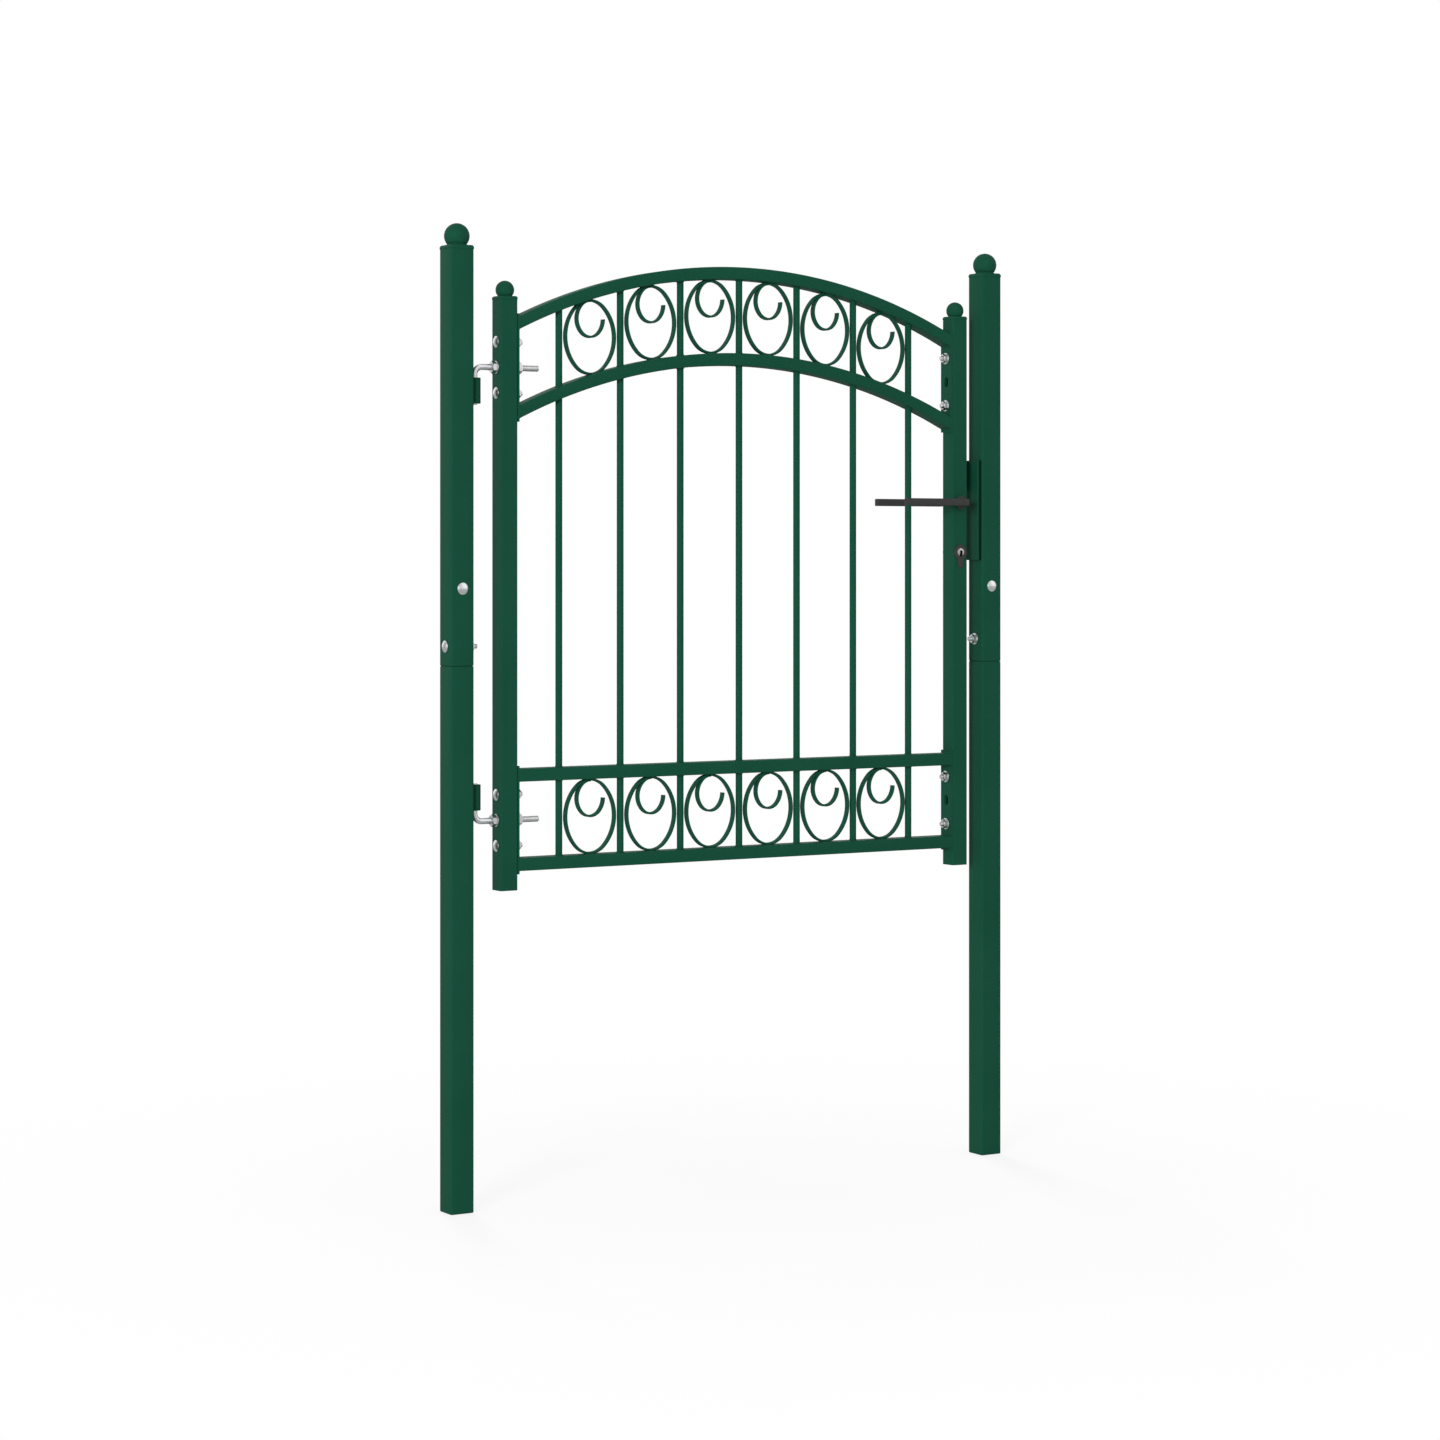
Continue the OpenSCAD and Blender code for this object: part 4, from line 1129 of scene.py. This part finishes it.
class GATE_OT_levers(Operator):
    """Shape the two lever handles and their roses"""

    bl_idname = "gate.levers"
    bl_label = "Lever handles"

    def execute(self, context):
        lock = context.scene.gate_lock
        low, high = box("front_lever")
        tall = high[2] - low[2]
        near, far = box("latch_upright")
        x, face = (near[0] + far[0]) / 2, near[1]
        z = (low[2] + high[2]) / 2
        thick = lock.lever
        grip = low[1] + thick / 2
        bend = lock.lever_bend
        neck = np.linspace(face - lock.neck_gap, grip + bend, 4)
        q = np.linspace(0, np.pi / 2, 18)[1:]
        stations, inset = soft_ends(abs(low[0] - (x - bend)), lock.lever_end)
        stations, inset = stations[5:], inset[5:]
        xs = np.concatenate([np.full(4, x), x - bend * (1 - np.cos(q)), x - bend - stations])
        ys = np.concatenate([neck, grip + bend * (1 - np.sin(q)), np.full_like(stations, grip)])
        turn = np.concatenate([np.zeros(4), q, np.full_like(stations, np.pi / 2)])
        inset = np.concatenate([np.zeros(4 + len(q)), inset])
        square = np.clip(turn / lock.lever_squared, 0, 1)
        square = square * square * (3 - 2 * square)
        across = xyz(np.cos(turn), -np.sin(turn), 0)
        outlines = []
        for d, share in zip(inset, square):
            corner = max(lock.lever_edge - d, 0.3 * MM)
            sharp = rounded_box(thick - 2 * d, tall - 2 * d, corner, 7)
            unit = sharp / np.linalg.norm(sharp, axis=1)[:, None]
            outlines.append(share * sharp + (1 - share) * (tall / 2) * unit)
        shell = Shell().add(sweep(xyz(xs, ys, z), across, Z, np.array(outlines)))
        add_piece("front_lever_grip", shell, "handle", "black", ("front_lever",))
        add_piece("back_lever_grip", shell.mirrored(1, 0), "handle", "black",
                  ("back_lever",))
        low, high = box("lever_roses")
        radius = (high[2] - low[2]) / 2
        depth = high[1] + face
        ring = ring_section(tall / 2 + lock.rose_play, radius, 0, depth, lock.rose_edge)
        rose = Shell().add(lathe(*ring, np.array([x, face, z]), -Y, Z, 64), loop=True)
        add_piece("lever_rose_rings", rose.both_sides(), "leaf", "black", ("lever_roses",))
        return {"FINISHED"}


def cover_radius(angle, lock, foot):
    """Reach of the cylinder cover's outline from the plug's middle, by the angle from straight
    down: the larger of a circle and a tail with a round end."""
    half = lock.cover_tail / 2
    deep = foot - half
    a = np.abs(np.angle(np.exp(1j * angle)))
    inside = np.clip(half ** 2 - (deep * np.sin(a)) ** 2, 0, None)
    end = deep * np.cos(a) + np.sqrt(inside)
    side = half / np.maximum(np.sin(a), 1e-6)
    tail = np.where(np.tan(np.minimum(a, 1.5)) * deep <= half, end, side)
    tail = np.where(a < np.pi / 2, tail, 0)
    return np.maximum(lock.cover / 2, tail)


class GATE_OT_cylinder(Operator):
    """Make the key cylinder's covers and its plugs with their keyways"""

    bl_idname = "gate.cylinder"
    bl_label = "Key cylinder"

    def execute(self, context):
        lock = context.scene.gate_lock
        low, high = box("cylinder_covers")
        x = (low[0] + high[0]) / 2
        z = high[2] - lock.cover / 2
        face = -box("latch_upright")[1][1]
        thick = -low[1] + face
        around = 240
        outer = cover_radius(turns(around), lock, z - low[2])
        hole = np.full(around, lock.plug / 2 + lock.cover_play)
        q = np.linspace(0, np.pi / 2, 5)
        e = lock.cover_edge
        rows = [hole, outer] + [outer - e * (1 - np.cos(t)) for t in q] + [hole]
        depth = np.concatenate([[0, 0], thick - e + e * np.sin(q), [thick]])
        base = np.array([x, face, z])
        cover = Shell().add(lathe(depth, np.array(rows), base, -Y, -Z), loop=True)
        add_piece(
            "cylinder_cover_plates", cover.both_sides(), "leaf", "black", ("cylinder_covers",)
        )

        nose = -box("key_cylinder")[0][1]
        radius, deep = lock.plug / 2, lock.keyway_depth
        unit = circle(1.0, 96)
        half = np.array([lock.keyway, lock.keyway_height]) / 2
        slot = unit / np.max(np.abs(unit) / half, axis=1)[:, None]
        slot[:, 0] += lock.keyway_wave * np.sin(slot[:, 1] / (1.5 * MM))
        slot[:, 1] -= lock.keyway_drop
        most = radius - lock.keyway_wall
        slot *= np.minimum(1, most / np.linalg.norm(slot, axis=1))[:, None]
        sizes = [slot, slot, unit * (radius - lock.plug_edge), unit * radius, unit * radius]
        # from the keyway's floor to the face, over the bevel and back into the upright
        ys = -np.array([nose - deep, nose, nose - 1.0 * MM, nose - 1.4 * MM, 4.0 * MM])
        plug = Shell().add(sweep(xyz(x, ys, z), X, Z, np.array(sizes)))
        add_piece("key_plugs", plug.both_sides(), "leaf", "zinc", ("key_cylinder",), 30, "plug")
        # a filling of painted shade, dark, that stays clear of the keyway's floor, sides and face
        clear = 0.1 * MM
        ys = -np.array([nose - deep + clear, nose - clear])
        dark = Shell().add(sweep(xyz(x, ys, z), X, Z, 0.985 * slot[None]))
        add_piece("keyway_shade_fills", dark.both_sides(), "leaf", "black", look="keyway_shade")
        return {"FINISHED"}


class GATE_OT_finishes(Operator):
    """Give the CAD nodes that stay in view their finishes"""

    bl_idname = "gate.finishes"
    bl_label = "Finishes"

    def execute(self, context):
        slots = {s["node"]: s["material_slot"] for s in frame["record"]["subparts"]}
        for name, piece in frame["nodes"].items():
            piece.data.materials.clear()
            piece.data.materials.append(finish(OWN_FINISHES.get(name, slots[name])))
        return {"FINISHED"}


# what metal mirrors: the direction of each soft light, its strength and how narrow it is
SOFT_LIGHTS = (
    ((0.77, -0.62, 0.15), 1.0, 1.5),
    ((-0.71, -0.69, 0.1), 1.2, 10.0),
    ((0.17, 0.98, 0.1), 1.2, 2.0),
    ((-0.96, -0.26, 0.1), 1.6, 14.0),
    ((0.0, 0.0, 1.0), 0.4, 1.5),
)


class GATE_OT_stage(Operator):
    """Set out the floor, the camera and the lamps"""

    bl_idname = "gate.stage"
    bl_label = "Stage"

    def execute(self, context):
        stage = context.scene.gate_stage
        scene = context.scene
        scene.view_settings.view_transform = "Standard"
        lens = bpy.data.cameras.new("gate_camera")
        lens.sensor_width = 36.0
        lens.lens = stage.lens
        lens.shift_y = stage.rise
        lens.clip_end = 200.0
        camera = bpy.data.objects.new("gate_camera", lens)
        camera.location = stage.camera
        camera.rotation_euler = (np.pi / 2, 0, stage.heading)
        scene.collection.objects.link(camera)
        scene.camera = camera
        middle = (np.array(cad_bounds[0]) + np.array(cad_bounds[1])) / 2
        self.lamp("key_lamp", middle, stage, stage.key_turn, stage.key_rise, stage.key)
        self.lamp("back_lamp", middle, stage, stage.back_turn, stage.back_rise, stage.back)
        self.floor(scene, middle, stage)
        self.world(scene, stage.fill, stage.room)
        return {"FINISHED"}

    def lamp(self, name, middle, stage, turn, rise, power):
        """A square area lamp that faces the middle of the gate."""
        light = bpy.data.lights.new(name, "AREA")
        light.size = stage.lamp_width
        light.energy = power
        lamp = bpy.data.objects.new(name, light)
        across = stage.away * np.cos(rise)
        lamp.location = middle + [
            -across * np.sin(turn), -across * np.cos(turn), stage.away * np.sin(rise)
        ]
        lamp.rotation_euler = (np.pi / 2 - rise, 0, -turn)
        lamp.visible_glossy = False
        bpy.context.scene.collection.objects.link(lamp)

    def floor(self, scene, middle, stage):
        """A pale floor. The camera sees it white, but for the gate's soft shadow, which fades
        out with the distance from the gate; mirrors see it light grey."""
        half = 40.0
        low = cad_bounds[0][2] - 0.2 * MM
        mesh = bpy.data.meshes.new("stage_floor")
        corners = [(-half, -half, low), (half, -half, low), (half, half, low), (-half, half, low)]
        mesh.from_pydata(corners, [], [(0, 1, 2, 3)])
        floor = bpy.data.objects.new("stage_floor", mesh)
        scene.collection.objects.link(floor)
        material = bpy.data.materials.new("pale_floor")
        material.use_nodes = True
        tree = material.node_tree
        tree.nodes.clear()
        shade = Shade(tree)
        place = shade.node("ShaderNodeTexCoord", output=3)
        reach = shade.node(
            "ShaderNodeVectorMath", {"operation": "DISTANCE"},
            {0: place, 1: (middle[0], middle[1], low)}, output=1,
        )
        near = shade.math("MAXIMUM", 1.0 - reach / stage.shadow_reach, 0.0)
        rays = shade.node("ShaderNodeLightPath")
        glossy = rays.output("Is Glossy Ray")

        def glow(strength):
            return shade.node(
                "ShaderNodeEmission", {}, {"Color": (1, 1, 1), "Strength": strength}
            )

        def matt(tone):
            return shade.node("ShaderNodeBsdfDiffuse", {}, {"Color": (tone, tone, tone)})

        def mix(factor, first, second):
            return shade.node("ShaderNodeMixShader", {}, {0: factor, 1: first, 2: second})

        seen = mix(near * near * stage.shadow, glow(1.0), matt(1.0))
        lit = mix(glossy, matt(stage.floor_tone), glow(stage.floor_mirrored))
        mixed = mix(rays, lit, seen)
        out = tree.nodes.new("ShaderNodeOutputMaterial")
        tree.links.new(mixed.socket, out.inputs["Surface"])
        mesh.materials.append(material)

    def world(self, scene, fill, room):
        """White to the camera, an even fill as light, and in metal the soft lights over a grey
        room. A soft light is its strength times a power of the cosine to its direction."""
        world = bpy.data.worlds.new("gate_world")
        world.use_nodes = True
        scene.world = world
        tree = world.node_tree
        tree.nodes.clear()
        shade = Shade(tree)
        way = shade.node("ShaderNodeTexCoord", output=0)

        def lobe(direction, power):
            facing = shade.node(
                "ShaderNodeVectorMath", {"operation": "DOT_PRODUCT"}, {0: way, 1: direction},
                output=1,
            )
            return shade.math("POWER", shade.math("MAXIMUM", facing, 0.0), power)

        for direction, strength, power in SOFT_LIGHTS:
            room = room + strength * lobe(direction, power)
        rays = shade.node("ShaderNodeLightPath")
        glossy = rays.output("Is Glossy Ray")
        through = rays.output("Is Transmission Ray")
        white = shade.math("MAXIMUM", rays, through)
        level = fill + glossy * (room - fill)
        strength = level + white * (1.0 - level)
        back = shade.node("ShaderNodeBackground", {}, {"Color": (1, 1, 1), "Strength": strength})
        out = tree.nodes.new("ShaderNodeOutputWorld")
        tree.links.new(back.socket, out.inputs["Surface"])


OPERATORS = (
    GATE_OT_finishes,
    GATE_OT_posts,
    GATE_OT_caps,
    GATE_OT_rails,
    GATE_OT_bars,
    GATE_OT_scrolls,
    GATE_OT_hinges,
    GATE_OT_bolts,
    GATE_OT_levers,
    GATE_OT_cylinder,
    GATE_OT_stage,
)


class GATE_PT_panel(Panel):
    """The gate's pieces, in the sidebar"""

    bl_idname = "GATE_PT_panel"
    bl_label = "Fence gate"
    bl_space_type = "VIEW_3D"
    bl_region_type = "UI"
    bl_category = "Gate"

    def draw(self, context):
        for operator in OPERATORS:
            self.layout.operator(operator.bl_idname)
        for name in SETTINGS:
            group = getattr(context.scene, name)
            column = self.layout.column()
            for key in group.__annotations__:
                column.prop(group, key)


def register():
    for group in SETTINGS.values():
        bpy.utils.register_class(group)
    for operator in OPERATORS:
        bpy.utils.register_class(operator)
    bpy.utils.register_class(GATE_PT_panel)
    for name, group in SETTINGS.items():
        setattr(bpy.types.Scene, name, PointerProperty(type=group))


def unregister():
    for name in SETTINGS:
        delattr(bpy.types.Scene, name)
    bpy.utils.unregister_class(GATE_PT_panel)
    for operator in reversed(OPERATORS):
        bpy.utils.unregister_class(operator)
    for group in reversed(list(SETTINGS.values())):
        bpy.utils.unregister_class(group)


def main():
    """Registers the add-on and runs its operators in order."""
    register()
    for operator in OPERATORS:
        group, name = operator.bl_idname.split(".")
        getattr(getattr(bpy.ops, group), name)()


if __name__ == "__main__":
    main()
